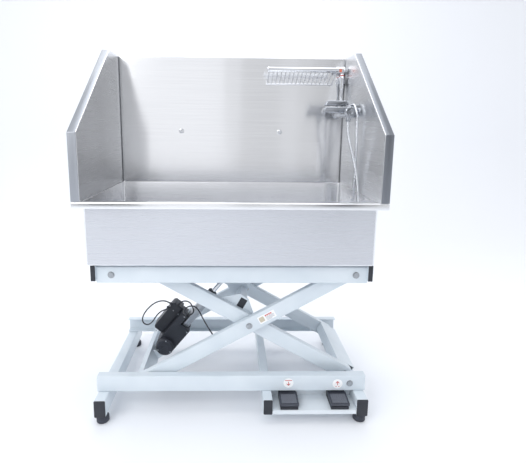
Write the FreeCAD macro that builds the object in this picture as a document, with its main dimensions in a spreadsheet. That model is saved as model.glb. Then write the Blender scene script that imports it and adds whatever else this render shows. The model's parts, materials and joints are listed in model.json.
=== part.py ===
"""Electric-lift stainless dog grooming bath: tub on a scissor lift, with foot switches and a shower set.

Millimetres, +Z up, +X to the bather's right, +Y away from the bather. The origin is on the floor,
under the middle of the object's box.
"""
import FreeCAD, Part
import math
import os

import Sketcher

DOC = FreeCAD.newDocument("GroomingBath")
SHEET = DOC.addObject("Spreadsheet::Sheet", "Size")
NODES = []
V = FreeCAD.Vector


class Dim:
    """A length that knows both its value and the formula that gives it from the sheet."""

    def __init__(self, text, value):
        self.text = text
        self.value = value

    def __add__(self, other):
        other = dim(other)
        return Dim(f"({self.text} + {other.text})", self.value + other.value)

    def __sub__(self, other):
        other = dim(other)
        return Dim(f"({self.text} - {other.text})", self.value - other.value)

    def __mul__(self, other):
        other = dim(other)
        return Dim(f"({self.text} * {other.text})", self.value * other.value)

    def __truediv__(self, other):
        other = dim(other)
        return Dim(f"({self.text} / {other.text})", self.value / other.value)

    def __neg__(self):
        return Dim(f"(-1 * {self.text})", -self.value)

    __radd__ = __add__
    __rmul__ = __mul__

    def __rsub__(self, other):
        return dim(other) - self


def dim(number):
    """A plain number as a Dim; a Dim stays as it is."""
    return number if isinstance(number, Dim) else Dim(repr(float(number)), float(number))


def root(square):
    return Dim(f"sqrt({square.text})", math.sqrt(square.value))


def slope_of(rise, run):
    """The angle of a slope, in degrees."""
    angle = math.degrees(math.atan2(rise.value, run.value))
    return Dim(f"atan2({rise.text}; {run.text})", angle)


def size(alias, number):
    """One driving dimension, written once, in the sheet's next row."""
    size.row += 1
    SHEET.set(f"A{size.row}", alias)
    SHEET.set(f"B{size.row}", str(number))
    SHEET.setAlias(f"B{size.row}", alias)
    return Dim(f"Size.{alias}", float(number))


size.row = 0

# ---------------------------------------------------------------- driving dimensions
RIM_LENGTH = size("rim_length", 1300)
RIM_FRONT = size("rim_front", 355)
RIM_BACK = size("rim_back", 332)
RIM_LIP = size("rim_lip", 30)
RIM_LEDGE = size("rim_ledge", 33)
STEEL = size("steel_sheet", 2)
BASIN_DEEP = size("basin_depth", 280)
PANEL_WIDE = size("panel_flange", 37)
PANEL_LIP = size("panel_return_lip", 14)
PANEL_LOW = size("panel_front_rise", 279)
PANEL_HIGH = size("panel_rise", 680)
PANEL_FLAT = size("panel_top_flat", 201)
BASE_DEEP = size("base_depth", 714)
LIFT_X = size("lift_middle_x", 7)
RAIL_LONG = size("lower_rail_length", 1222)
UPPER_LONG = size("upper_rail_length", 1180)
RAIL_TALL = size("rail_height", 75)
RAIL_DEEP = size("rail_depth", 37)
RAIL_WALL = size("rail_wall", 3)
RAIL_FACE = size("rail_inner_face", 254.5)
END_WIDE = size("end_member_width", 22)
END_STEP = size("end_member_step", 11)
TUBE_WIDE = size("side_tube_width", 50)
TUBE_TALL = size("side_tube_height", 80)
TUBE_WALL = size("side_tube_wall", 3)
TUBE_SPAN = size("side_tube_span", 1165)
MID_WIDE = size("middle_tube_width", 40)
MID_TALL = size("middle_tube_height", 70)
MID_X = size("middle_tube_x", 167.5)
CAP_THICK = size("cap_thickness", 4)
FOOT_TALL = size("foot_height", 42)
FOOT_PAD = size("foot_pad_radius", 28)
FOOT_Y = size("foot_row_y", 317)
STEM = size("foot_stem_radius", 8)
PIVOT_X = size("fixed_pivot_x", 547)
ROLLER_X = size("roller_rest_x", -380)
LIFT_RISE = size("lift_rise", 519.5)
ARM_DEEP = size("arm_depth", 69)
ARM_THICK = size("arm_thickness", 30)
ARM_WALL = size("arm_wall", 2.5)
ARM_GAP = size("arm_gap", 5)
PIN = size("pin_radius", 10)
BUSH = size("bush_radius", 14)
RUNNING = size("running_clearance", 0.05)
ROLLER = size("roller_radius", 34)
ROLLER_WIDE = size("roller_width", 24)
ROD = size("rod_radius", 11)
ROD_EYE = size("rod_eye_radius", 18)
HITCH_PIN = size("hitch_pin_radius", 8)
OPEN_PIN = size("open_pin_radius", 6)
OPEN_PLAY = size("open_pivot_play", 6.6)
PEDAL_WIDE = size("pedal_width", 84)
PEDAL_DOWN_X = size("pedal_down_x", 263.5)
PEDAL_UP_X = size("pedal_up_x", 491)
PEDAL_PIN = size("pedal_pin_radius", 4)
DRAIN = size("drain_radius", 26)
DRAIN_X = size("drain_x", 430)
SPIGOT = size("waste_spigot_radius", 20)
SPIGOT_LONG = size("waste_spigot_length", 60)
RACK_LEFT = size("rack_left_x", 183)
RACK_RIGHT = size("rack_right_x", 548)
RACK_BAR = size("rack_bar_radius", 12.5)
RACK_WIRE = size("rack_wire_radius", 2.5)
RACK_RAIL = size("rack_wall_bar_radius", 4)
RACK_INSET = size("rack_wire_inset", 7)
RACK_OUT = size("rack_projection", 120)
RACK_HIGH = size("rack_bar_height", 1612)
RACK_DROP = size("rack_wire_drop", 60)
MIXER_HIGH = size("mixer_height", 1392)
MIXER_OFF = size("mixer_wall_distance", 57)
MIXER_BODY = size("mixer_body_radius", 23)
INLET_GAP = size("inlet_spacing", 150)
INLET = size("inlet_thread_radius", 10.5)
HOSE = size("hose_diameter", 14)
CABLE = size("cable_diameter", 6.5)

# ---------------------------------------------------------------- places worked out from them
HALF_RIM = RIM_LENGTH / 2
WALL_X = HALF_RIM - PANEL_WIDE
BACK_Y = RIM_BACK - PANEL_WIDE
RAIL_LOW = FOOT_TALL + TUBE_TALL
PIN_LOW = RAIL_LOW + RAIL_TALL / 2
PIN_HIGH = PIN_LOW + LIFT_RISE
UPPER_LOW = PIN_HIGH - RAIL_TALL / 2
TUB_LOW = UPPER_LOW + RAIL_TALL + END_STEP
FLOOR_Z = TUB_LOW + STEEL
RIM_Z = FLOOR_Z + BASIN_DEEP
RUN = PIVOT_X - ROLLER_X
ARM_LONG = root(RUN * RUN + LIFT_RISE * LIFT_RISE)
TILT = slope_of(LIFT_RISE, RUN)
MID_PIVOT_X = (PIVOT_X + ROLLER_X) / 2
MID_PIVOT_Z = (PIN_LOW + PIN_HIGH) / 2
OUTER_FAR = RAIL_FACE - 4.5
OUTER_NEAR = OUTER_FAR - ARM_THICK
INNER_FAR = OUTER_NEAR - ARM_GAP
INNER_NEAR = INNER_FAR - ARM_THICK
RAIL_OUT = RAIL_FACE + RAIL_DEEP
TUBE_LEFT = LIFT_X - TUBE_SPAN / 2
TUBE_RIGHT = LIFT_X + TUBE_SPAN / 2
HALF_BASE = BASE_DEEP / 2

# ---------------------------------------------------------------- frames that tilted pieces are made in


class Tilt:
    """A frame turned in the XZ plane: +1 climbs to the right, -1 falls to the right."""

    def __init__(self, x, z, angle, way):
        self.x = x
        self.z = z
        self.angle = angle
        self.way = way

    def spot(self, along, off):
        """The row-frame x and z of a point of this frame, as plain numbers."""
        turn = math.radians(self.angle.value) * self.way
        x = self.x.value + along * math.cos(turn) - off * math.sin(turn)
        return x, self.z.value + along * math.sin(turn) + off * math.cos(turn)


OUTER = Tilt(MID_PIVOT_X, MID_PIVOT_Z, TILT, 1)
INNER = Tilt(MID_PIVOT_X, MID_PIVOT_Z, TILT, -1)
HALF_ARM = ARM_LONG / 2
COS = RUN / ARM_LONG
SIN = LIFT_RISE / ARM_LONG
HITCH_OFF = dim(-17.5)
LEVER_ALONG = dim(-162.5)
LEVER_OFF = dim(88.5)
HITCH_X = MID_PIVOT_X - HALF_ARM * COS - HITCH_OFF * SIN
HITCH_Z = MID_PIVOT_Z - HALF_ARM * SIN + HITCH_OFF * COS
LEVER_X = MID_PIVOT_X + LEVER_ALONG * COS + LEVER_OFF * SIN
LEVER_Z = MID_PIVOT_Z - LEVER_ALONG * SIN + LEVER_OFF * COS
REACH_X = LEVER_X - HITCH_X
REACH_Z = LEVER_Z - HITCH_Z
REACH = root(REACH_X * REACH_X + REACH_Z * REACH_Z)
PUSH = Tilt(HITCH_X, HITCH_Z, slope_of(REACH_Z, REACH_X), 1)

# ---------------------------------------------------------------- how a FreeCAD user's clicks are written


def bind(obj, **formulas):
    for name, formula in formulas.items():
        obj.setExpression(name.replace("__", "."), dim(formula).text)
    return obj


def put(obj, x=0, y=0, z=0):
    return bind(obj, Placement__Base__x=x, Placement__Base__y=y, Placement__Base__z=z)


def box(x0, x1, y0, y1, z0, z1):
    """A block between two corners."""
    obj = DOC.addObject("Part::Box", "Block")
    bind(obj, Length=dim(x1) - x0, Width=dim(y1) - y0, Height=dim(z1) - z0)
    return put(obj, x0, y0, z0)


TURNS = {"X": (V(0, 1, 0), 90), "Y": (V(1, 0, 0), -90), "Z": (V(0, 0, 1), 0)}


def rod(axis, x, y, z, radius, length):
    """A round bar that starts at a point and runs the positive way along an axis."""
    obj = DOC.addObject("Part::Cylinder", "Round")
    obj.Placement = FreeCAD.Placement(V(), FreeCAD.Rotation(*TURNS[axis]))
    bind(obj, Radius=radius, Height=length)
    return put(obj, x, y, z)


def fuse(*shapes):
    obj = DOC.addObject("Part::MultiFuse", "Joined")
    obj.Shapes = list(shapes)
    obj.Refine = True
    return obj


def group(*shapes):
    obj = DOC.addObject("Part::Compound", "Set")
    obj.Links = list(shapes)
    return obj


def cut(base, *tools):
    obj = DOC.addObject("Part::Cut", "Trimmed")
    obj.Base = base
    obj.Tool = tools[0] if len(tools) == 1 else group(*tools)
    return obj


def outline(body, role, points):
    """A closed sketch of straight lines, every corner tied to the sheet."""
    plane = [f for f in body.Origin.OriginFeatures if f.Role == role][0]
    sketch = body.newObject("Sketcher::SketchObject", "Outline")
    sketch.AttachmentSupport = [(plane, "")]
    sketch.MapMode = "FlatFace"
    corners = [(dim(a), dim(b)) for a, b in points]
    spots = [V(a.value, b.value, 0) for a, b in corners]
    count = len(spots)
    for i in range(count):
        sketch.addGeometry(Part.LineSegment(spots[i], spots[(i + 1) % count]), False)
    for i in range(count):
        sketch.addConstraint(Sketcher.Constraint("Coincident", i, 2, (i + 1) % count, 1))
    for i, pair in enumerate(corners):
        for kind, place in zip(("DistanceX", "DistanceY"), pair):
            held = Sketcher.Constraint(kind, -1, 1, i, 1, place.value)
            sketch.setExpression(f"Constraints[{sketch.addConstraint(held)}]", place.text)
    return sketch


def pad(role, points, length, x=0, y=0, z=0):
    """A prism: the outline lies in XY, XZ or YZ and is pushed up +Z, back +Y or right +X."""
    body = DOC.addObject("PartDesign::Body", "Body")
    feature = body.newObject("PartDesign::Pad", "Pad")
    feature.Profile = outline(body, role, points)
    feature.Reversed = role == "XZ_Plane"
    bind(feature, Length=length)
    body.Tip = feature
    return put(body, x, y, z)


def turned(points, x=0, y=0, z=0):
    """A turned piece: (radius, height) points go round the upright axis."""
    body = DOC.addObject("PartDesign::Body", "Body")
    sketch = outline(body, "XZ_Plane", points)
    feature = body.newObject("PartDesign::Revolution", "Revolution")
    feature.Profile = sketch
    feature.ReferenceAxis = (sketch, ["V_Axis"])
    feature.Angle = 360
    body.Tip = feature
    return put(body, x, y, z)


def laid(obj, axis, x, y, z):
    """A turned piece laid down, its axis now along X or Y, and moved."""
    obj.Placement = FreeCAD.Placement(V(), FreeCAD.Rotation(*TURNS[axis]))
    return put(obj, x, y, z)


def node(label, obj, frame=None):
    """Names a finished piece, and stands it in its tilted frame if it has one."""
    if frame:
        obj.Placement = FreeCAD.Placement(V(), FreeCAD.Rotation(V(0, -frame.way, 0), 30))
        bind(obj, Placement__Rotation__Angle=frame.angle)
        put(obj, frame.x, 0, frame.z)
    obj.Label = label
    NODES.append(obj)
    return obj


def both(make):
    """The same piece at the front and at the back."""
    return [make(-1), make(1)]


def span(side, near, far):
    """The y range from near to far on the front (-1) or the back (+1)."""
    return (near, far) if side > 0 else (-far, -near)


# ---------------------------------------------------------------- base frame
def channel(side, low, x0, x1, holes):
    """A C-section rail, open to the inside, with its web at the outside."""
    y0, y1 = span(side, RAIL_FACE, RAIL_OUT)
    w0, w1 = span(side, RAIL_FACE - 5, RAIL_OUT - RAIL_WALL)
    hollow = box(x0 - 1, x1 + 1, w0, w1, low + RAIL_WALL, low + RAIL_TALL - RAIL_WALL)
    bores = [rod("Y", x, y0 - 5, low + RAIL_TALL / 2, PIN + RUNNING, RAIL_DEEP + 10) for x in holes]
    return cut(box(x0, x1, y0, y1, low, low + RAIL_TALL), hollow, *bores)


def make_base_rails():
    x0 = LIFT_X - RAIL_LONG / 2
    for side, word in ((-1, "front"), (1, "rear")):
        node(f"base_rail_{word}", channel(side, RAIL_LOW, x0, x0 + RAIL_LONG, [PIVOT_X]))


def cross_tube(x, wide, tall, bores):
    """A box tube that runs front to back under the rails."""
    top = RAIL_LOW
    end = HALF_BASE - CAP_THICK
    outer = box(x - wide / 2, x + wide / 2, -end, end, top - tall, top)
    inner = box(x - wide / 2 + TUBE_WALL, x + wide / 2 - TUBE_WALL, -end - 1, end + 1,
                top - tall + TUBE_WALL, top - TUBE_WALL)
    holes = [rod("Z", x, y, top - tall - 1, STEM + RUNNING, TUBE_WALL + 2) for y in bores]
    return cut(outer, inner, *holes)


def make_cross_tubes():
    feet = [-FOOT_Y, FOOT_Y]
    sides = [cross_tube(x, TUBE_WIDE, TUBE_TALL, feet) for x in (TUBE_LEFT, TUBE_RIGHT)]
    node("base_side_tubes", group(*sides))
    node("base_middle_tube", cross_tube(MID_X, MID_WIDE, MID_TALL, []))


def end_cap(side, x, wide, tall):
    """A plastic plug: a plate that covers the tube's end and a block that grips inside."""
    plug = CAP_THICK * 5
    end = HALF_BASE - CAP_THICK
    y0, y1 = span(side, end, HALF_BASE)
    p0, p1 = span(side, end - plug, end)
    inset = TUBE_WALL
    plate = box(x - wide / 2, x + wide / 2, y0, y1, RAIL_LOW - tall, RAIL_LOW)
    grip = box(x - wide / 2 + inset, x + wide / 2 - inset, p0, p1,
               RAIL_LOW - tall + inset, RAIL_LOW - inset)
    return fuse(plate, grip)


def make_end_caps():
    caps = []
    for x, wide, tall in ((TUBE_LEFT, TUBE_WIDE, TUBE_TALL), (TUBE_RIGHT, TUBE_WIDE, TUBE_TALL),
                          (MID_X, MID_WIDE, MID_TALL)):
        caps += both(lambda side: end_cap(side, x, wide, tall))
    node("base_end_caps", group(*caps))


def make_feet():
    """Rubber-shod levelling feet whose stems pass into the tubes."""
    profile = [(0, 0), (FOOT_PAD - 3, 0), (FOOT_PAD, 3), (FOOT_PAD, 24), (FOOT_PAD - 8, 32),
               (STEM + 4, 33), (STEM + 4, FOOT_TALL - 0.3), (STEM, FOOT_TALL - 0.3),
               (STEM, FOOT_TALL + 30), (0, FOOT_TALL + 30)]
    for y, deep in ((-FOOT_Y, "front"), (FOOT_Y, "rear")):
        for x, wide in ((TUBE_LEFT, "left"), (TUBE_RIGHT, "right")):
            node(f"foot_{deep}_{wide}", turned(profile, x, y, 0))


def pin_piece(side, x, z, start, stop, head, head_long, shank=PIN):
    """A pivot pin along Y, from start out to stop, with its head at the stop end."""
    y0, y1 = span(side, start, stop)
    h0, h1 = span(side, stop, stop + head_long)
    return fuse(rod("Y", x, y0, z, shank, y1 - y0), rod("Y", x, h0, z, head, h1 - h0))


def make_lower_pins():
    pins = both(lambda side: pin_piece(side, PIVOT_X, PIN_LOW, INNER_NEAR + 2, RAIL_OUT, 12, 5))
    node("lower_pivot_pins", group(*pins))


# ---------------------------------------------------------------- foot switches
TRAY_Y = dim(-245)
TRAY_Z = RAIL_LOW - 50.5
TRAY_LEFT = MID_X + MID_WIDE / 2
TRAY_RIGHT = TUBE_RIGHT - TUBE_WIDE / 2
PEDAL_BACK = dim(-252)
PEDAL_AXIS_Y = dim(-262)
PEDAL_AXIS_Z = TRAY_Z + 24.5
PEDAL_FACE = -RIM_FRONT


def make_pedal_tray():
    """A folded sheet with a front lip and a back wall, between the middle and right tubes."""
    low = RAIL_LOW - MID_TALL
    points = [(-RIM_FRONT, low), (-RIM_FRONT, TRAY_Z), (TRAY_Y - STEEL, TRAY_Z),
              (TRAY_Y - STEEL, RAIL_LOW - 1), (TRAY_Y, RAIL_LOW - 1), (TRAY_Y, TRAY_Z - STEEL),
              (-RIM_FRONT + STEEL, TRAY_Z - STEEL), (-RIM_FRONT + STEEL, low)]
    node("pedal_tray", pad("YZ_Plane", points, TRAY_RIGHT - TRAY_LEFT, TRAY_LEFT))


def pedal_base(x):
    """The switch box under a treadle, with two ears that hold the treadle's pin."""
    half = PEDAL_WIDE / 2 - 2
    low = box(x - half, x + half, PEDAL_FACE + 5, PEDAL_BACK, TRAY_Z, TRAY_Z + 12)
    ears = [box(x - half, x - half + 8, PEDAL_BACK - 20, PEDAL_BACK, TRAY_Z + 12, TRAY_Z + 33),
            box(x + half - 8, x + half, PEDAL_BACK - 20, PEDAL_BACK, TRAY_Z + 12, TRAY_Z + 33)]
    bore = rod("X", x - half - 1, PEDAL_AXIS_Y, PEDAL_AXIS_Z, PEDAL_PIN, PEDAL_WIDE)
    return cut(fuse(low, *ears), bore)


def treadle(x):
    """The rocking plate: a wedge that rises to the back, and a knuckle round the pin."""
    face = PEDAL_FACE
    wedge = pad("YZ_Plane", [(face, TRAY_Z + 19.5), (face, TRAY_Z + 30.5), (face + 62, TRAY_Z + 36.5),
                             (face + 79, TRAY_Z + 37), (face + 79, TRAY_Z + 19.5)],
                PEDAL_WIDE, x - PEDAL_WIDE / 2)
    half = PEDAL_WIDE / 2 - 12
    knuckle = box(x - half, x + half, face + 78, PEDAL_BACK - 2, TRAY_Z + 19, TRAY_Z + 33)
    bore = rod("X", x - half - 1, PEDAL_AXIS_Y, PEDAL_AXIS_Z, PEDAL_PIN + RUNNING, half * 2 + 2)
    return cut(fuse(wedge, knuckle), bore)


def tread(x):
    """The grey anti-slip pad let into the treadle's top."""
    y0 = PEDAL_FACE + 6
    y1 = PEDAL_FACE + 60
    z0 = TRAY_Z + 30.5 + dim(6) * 6 / 62
    z1 = TRAY_Z + 30.5 + dim(60) * 6 / 62
    wide = PEDAL_WIDE - 16
    return pad("YZ_Plane", [(y0, z0), (y0, z0 + 2), (y1, z1 + 2), (y1, z1)], wide, x - wide / 2)


def make_pedals():
    for x, word in ((PEDAL_DOWN_X, "down"), (PEDAL_UP_X, "up")):
        node(f"treadle_{word}", treadle(x))
        node(f"tread_{word}", tread(x))
    places = (PEDAL_DOWN_X, PEDAL_UP_X)
    half = PEDAL_WIDE / 2 - 2
    pins = [rod("X", x - half, PEDAL_AXIS_Y, PEDAL_AXIS_Z, PEDAL_PIN, half * 2) for x in places]
    node("pedal_bases", group(*[pedal_base(x) for x in places], *pins))


# ---------------------------------------------------------------- scissor arms
def arm(near, far, side):
    """A closed box-section arm with round ends and three bush holes, in its own tilted frame."""
    y0, y1 = span(side, near, far)
    half = ARM_DEEP / 2

    def stadium(inset):
        reach = half - inset
        block = box(-HALF_ARM, HALF_ARM, y0 + inset, y1 - inset, -reach, reach)
        deep = ARM_THICK - inset * 2
        ends = [rod("Y", x, y0 + inset, 0, reach, deep) for x in (-HALF_ARM, HALF_ARM)]
        return fuse(block, *ends)

    bores = [rod("Y", x, y0 - 1, 0, BUSH, ARM_THICK + 2) for x in (-HALF_ARM, dim(0), HALF_ARM)]
    return cut(stadium(dim(0)), stadium(ARM_WALL), *bores)


def bush(near, far, side, x, bore):
    """A sleeve that fills an arm's hole from face to face."""
    y0, y1 = span(side, near, far)
    return cut(rod("Y", x, y0, 0, BUSH, y1 - y0), rod("Y", x, y0 - 1, 0, bore, y1 - y0 + 2))


def make_arms():
    for side, word in ((-1, "front"), (1, "rear")):
        node(f"outer_arm_{word}", arm(OUTER_NEAR, OUTER_FAR, side), OUTER)
        node(f"inner_arm_{word}", arm(INNER_NEAR, INNER_FAR, side), INNER)
    held = PIN + RUNNING
    outer = [bush(OUTER_NEAR, OUTER_FAR, side, x, held)
             for side in (-1, 1) for x in (-HALF_ARM, dim(0), HALF_ARM)]
    inner = [bush(INNER_NEAR, INNER_FAR, side, x, held)
             for side in (-1, 1) for x in (-HALF_ARM, dim(0), HALF_ARM)]
    node("outer_arm_bushes", group(*outer), OUTER)
    node("inner_arm_bushes", group(*inner), INNER)


def make_arm_pins():
    centre = both(lambda side: pin_piece(side, dim(0), dim(0), INNER_NEAR, OUTER_FAR, 11.5, 4))
    node("centre_pins", group(*centre), OUTER)
    tip = RAIL_FACE + 3.5 + ROLLER_WIDE + 2
    low = both(lambda side: pin_piece(side, -HALF_ARM, dim(0), OUTER_NEAR, tip, 12, 2))
    node("lower_roller_pins", group(*low), OUTER)
    high = both(lambda side: pin_piece(side, -HALF_ARM, dim(0), INNER_NEAR, tip, 12, 2))
    node("upper_roller_pins", group(*high), INNER)


def make_rollers():
    """Nylon wheels that run inside the channels."""
    hub = PIN + RUNNING
    profile = [(hub, 0), (ROLLER - 2, 0), (ROLLER, 2), (ROLLER, ROLLER_WIDE - 2),
               (ROLLER - 2, ROLLER_WIDE), (hub, ROLLER_WIDE)]
    for z, level in ((PIN_LOW, "lower"), (PIN_HIGH, "upper")):
        for side, word in ((-1, "front"), (1, "rear")):
            start = span(side, RAIL_FACE + 3.5, RAIL_FACE + 3.5 + ROLLER_WIDE)[0]
            node(f"roller_{level}_{word}", laid(turned(profile), "Y", ROLLER_X, start, z))


def make_outer_cross():
    """The tube that ties the outer arms' lower ends, with the ears that hold the actuator."""
    half = ARM_DEEP / 2
    x0 = -HALF_ARM - 45
    x1 = -HALF_ARM - 15
    wall = ARM_WALL
    tube = cut(box(x0, x1, -OUTER_NEAR, OUTER_NEAR, -half, half),
               box(x0 + wall, x1 - wall, -OUTER_NEAR - 1, OUTER_NEAR + 1, -half + wall, half - wall))
    tails = []
    for side in (-1, 1):
        y0, y1 = span(side, OUTER_NEAR, OUTER_FAR)
        tail = box(x0, -HALF_ARM, y0, y1, -half, half)
        tails.append(cut(tail, rod("Y", -HALF_ARM, y0 - 1, 0, half, ARM_THICK + 2)))
    node("outer_cross_tube", fuse(tube, *tails), OUTER)
    points = [(x1, -half + 2), (x1 + 10, -half + 2), (x1 + 33, HITCH_OFF - 12),
              (x1 + 33, HITCH_OFF + 10), (x1 + 10, HITCH_OFF + 30), (x1, HITCH_OFF + 36)]
    ears = []
    for side in (-1, 1):
        y0, y1 = span(side, dim(21), dim(29))
        bore = rod("Y", -HALF_ARM, y0 - 1, HITCH_OFF, HITCH_PIN, 10)
        ears.append(cut(pad("XZ_Plane", points, 8, 0, y0), bore))
    pin = rod("Y", -HALF_ARM, -32, HITCH_OFF, HITCH_PIN, 64)
    node("actuator_ears", group(*ears, pin), OUTER)


LIFT_TUBE_AT = dim(-68)
LIFT_TUBE_OFF = dim(43)
LIFT_TUBE_HALF = (dim(17), dim(36))
GUSSET = 8


def lift_plate(points, y0, thick):
    """A plate with a window that the lift tube passes through."""
    wide, tall = LIFT_TUBE_HALF
    window = box(LIFT_TUBE_AT - wide, LIFT_TUBE_AT + wide, y0 - 1, y0 + thick + 1,
                 LIFT_TUBE_OFF - tall, LIFT_TUBE_OFF + tall)
    return cut(pad("XZ_Plane", points, thick, 0, y0), window)


def make_inner_cross():
    """The wide box that ties the inner arms' lower ends, and the lever that the actuator pushes."""
    wall = ARM_WALL
    x0 = HALF_ARM - 56
    x1 = HALF_ARM + 40
    low = dim(-15)
    top = ARM_DEEP / 2
    hollow = box(x0 + wall, x1 - wall, -INNER_NEAR - 1, INNER_NEAR + 1, low + wall, top - wall)
    node("inner_cross_box", cut(box(x0, x1, -INNER_NEAR, INNER_NEAR, low, top), hollow), INNER)

    wide, tall = LIFT_TUBE_HALF
    end = INNER_NEAR - 4
    at = LIFT_TUBE_AT
    off = LIFT_TUBE_OFF
    tube = cut(box(at - wide, at + wide, -end, end, off - tall, off + tall),
               box(at - wide + wall, at + wide - wall, -end - 1, end + 1,
                   off - tall + wall, off + tall - wall))
    node("lift_tube", tube, INNER)
    caps = []
    for side in (-1, 1):
        y0, y1 = span(side, end, INNER_NEAR - 0.5)
        g0, g1 = span(side, end - 15, end)
        plate = box(at - wide, at + wide, y0, y1, off - tall, off + tall)
        grip = box(at - wide + wall, at + wide - wall, g0, g1, off - tall + wall, off + tall - wall)
        caps.append(fuse(plate, grip))
    node("lift_tube_caps", group(*caps), INNER)

    gusset = [(8, 10), (8, 34), (-50, 86), (-98, 92), (-165, 36), (-165, 10)]
    lever = [(-40, 12), (-42, 84), (-62, 96), (-150, 112), (-172, 110), (-184, 92), (-178, 72), (-94, 6)]
    plates = [lift_plate(gusset, span(side, INNER_NEAR - GUSSET, INNER_NEAR)[0], GUSSET)
              for side in (-1, 1)]
    for side in (-1, 1):
        y0 = span(side, dim(27), dim(35))[0]
        bore = rod("Y", LEVER_ALONG, y0 - 1, LEVER_OFF, OPEN_PIN, GUSSET + 2)
        plates.append(cut(lift_plate(lever, y0, GUSSET), bore))
    pin = rod("Y", LEVER_ALONG, -38, LEVER_OFF, OPEN_PIN, 76)
    node("lift_lever_plates", group(*plates, pin), INNER)


# ---------------------------------------------------------------- linear actuator, in its own tilted frame
TUBE_END = dim(430)
NECK_START = dim(140)
ROD_START = dim(262)


def make_actuator():
    body = [(36, -30), (60, -36), (206, -36), (206, 24), (262, 24), (262, 58), (60, 58), (36, 30)]
    shell = pad("XZ_Plane", body, 84, 0, -42)
    tongue = fuse(box(0, 60, -20, 20, -12, 12), rod("Y", 0, -20, 0, 15, 40))
    bore = rod("Y", 0, -21, 0, HITCH_PIN + RUNNING, 42)
    pocket = rod("X", NECK_START - 5, 0, 0, 16, 206 - NECK_START + 6)
    node("actuator_housing", cut(fuse(shell, tongue, rod("Y", 69, -42, 12, 47, 84)), bore, pocket), PUSH)
    cans = [rod("Y", 69, -66, 12, 45, 24), rod("Y", 69, 42, 12, 38, 12)]
    node("actuator_motor", group(*cans), PUSH)
    lid = [(88, 58), (88, 106), (97, 115), (250, 118), (262, 108), (262, 58)]
    node("control_box", pad("XZ_Plane", lid, 70, 0, -35), PUSH)
    flat = 9
    half = 22
    octagon = [(-half, -flat), (-flat - 4, -half), (flat + 4, -half), (half, -flat), (half, flat),
               (flat + 4, half), (-flat - 4, half), (-half, flat)]
    sleeve = pad("YZ_Plane", octagon, TUBE_END - 206, 206)
    neck = rod("X", NECK_START, 0, 0, 15.5, 207 - NECK_START)
    inside = rod("X", NECK_START + 10, 0, 0, ROD + 2, TUBE_END - NECK_START)
    cap = cut(rod("X", TUBE_END, 0, 0, 24, 9), rod("X", TUBE_END - 1, 0, 0, ROD + RUNNING, 11))
    node("actuator_tube", group(cut(fuse(sleeve, neck), inside), cap), PUSH)


def make_rod():
    """The chrome rod, whose eye hangs round the lever's pin with room to move."""
    eye = rod("Y", REACH, -11, 0, ROD_EYE, 22)
    bar = rod("X", ROD_START, 0, 0, ROD, REACH - ROD_START - ROD_EYE + 6)
    hole = rod("Y", REACH, -12, 0, OPEN_PIN + OPEN_PLAY, 24)
    node("actuator_rod", cut(fuse(eye, bar), hole), PUSH)


# ---------------------------------------------------------------- upper frame
def make_upper_frame():
    x0 = LIFT_X - UPPER_LONG / 2
    x1 = LIFT_X + UPPER_LONG / 2
    stop_x = x0 + 64
    for side, word in ((-1, "front"), (1, "rear")):
        node(f"upper_rail_{word}", channel(side, UPPER_LOW, x0, x1, [PIVOT_X, stop_x]))
    ends = []
    wall = RAIL_WALL
    reach = RAIL_OUT + 8
    for a in (x0 - END_WIDE, x1):
        b = a + END_WIDE
        inner = box(a + wall, b - wall, -reach - 1, reach + 1, TUB_LOW - RAIL_TALL + wall, TUB_LOW - wall)
        ends.append(cut(box(a, b, -reach, reach, TUB_LOW - RAIL_TALL, TUB_LOW), inner))
    node("upper_end_members", group(*ends))
    pins = both(lambda side: pin_piece(side, PIVOT_X, PIN_HIGH, OUTER_NEAR, RAIL_OUT, 12, 5))
    stops = both(lambda side: pin_piece(side, stop_x, PIN_HIGH, RAIL_OUT - 5, RAIL_OUT, 12, 5))
    node("upper_pivot_pins", group(*pins, *stops))


# ---------------------------------------------------------------- tub
def make_tub():
    """The basin and its rim: one folded and welded sheet."""
    out = WALL_X + STEEL
    front = -RIM_FRONT + RIM_LEDGE
    lip = box(-HALF_RIM, HALF_RIM, -RIM_FRONT, RIM_BACK, RIM_Z - RIM_LIP, RIM_Z)
    under = box(-HALF_RIM + STEEL, HALF_RIM - STEEL, -RIM_FRONT + STEEL, RIM_BACK - STEEL,
                RIM_Z - RIM_LIP - 1, RIM_Z - STEEL)
    shell = box(-out, out, front - STEEL, BACK_Y + STEEL, TUB_LOW, RIM_Z)
    hollow = box(-WALL_X, WALL_X, front, BACK_Y, FLOOR_Z, RIM_Z + 1)
    hole = rod("Z", DRAIN_X, 0, TUB_LOW - 1, DRAIN, STEEL + 2)
    node("tub_basin", cut(fuse(cut(lip, under), shell), hollow, hole))


def panel_outline(inset):
    """A side panel seen from the side, shrunk all round by an inset."""
    y0 = -RIM_FRONT + 2
    y2 = RIM_BACK
    y1 = y2 - PANEL_FLAT
    low = RIM_Z
    mid = RIM_Z + PANEL_LOW
    top = RIM_Z + PANEL_HIGH
    steep = (top - mid) / (y1 - y0)
    slant = root(steep * steep + 1)
    return [(y0 + inset, low + inset), (y0 + inset, mid + inset * steep - inset * slant),
            (y1 + (inset * slant - inset) / steep, top - inset), (y2 - inset, top - inset),
            (y2 - inset, low + inset)]


def side_panel(side, bores):
    """A sheet whose edges fold outwards and then in again, as a shallow pan."""
    x0, x1 = span(side, WALL_X, HALF_RIM)
    c0, c1 = span(side, WALL_X + STEEL, HALF_RIM - STEEL)
    o0, o1 = span(side, WALL_X + STEEL, HALF_RIM + 1)
    slab = pad("YZ_Plane", panel_outline(dim(0)), x1 - x0, x0)
    cavity = pad("YZ_Plane", panel_outline(STEEL), c1 - c0, c0)
    mouth = pad("YZ_Plane", panel_outline(PANEL_LIP), o1 - o0, o0)
    return cut(slab, cavity, mouth, *bores)


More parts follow.
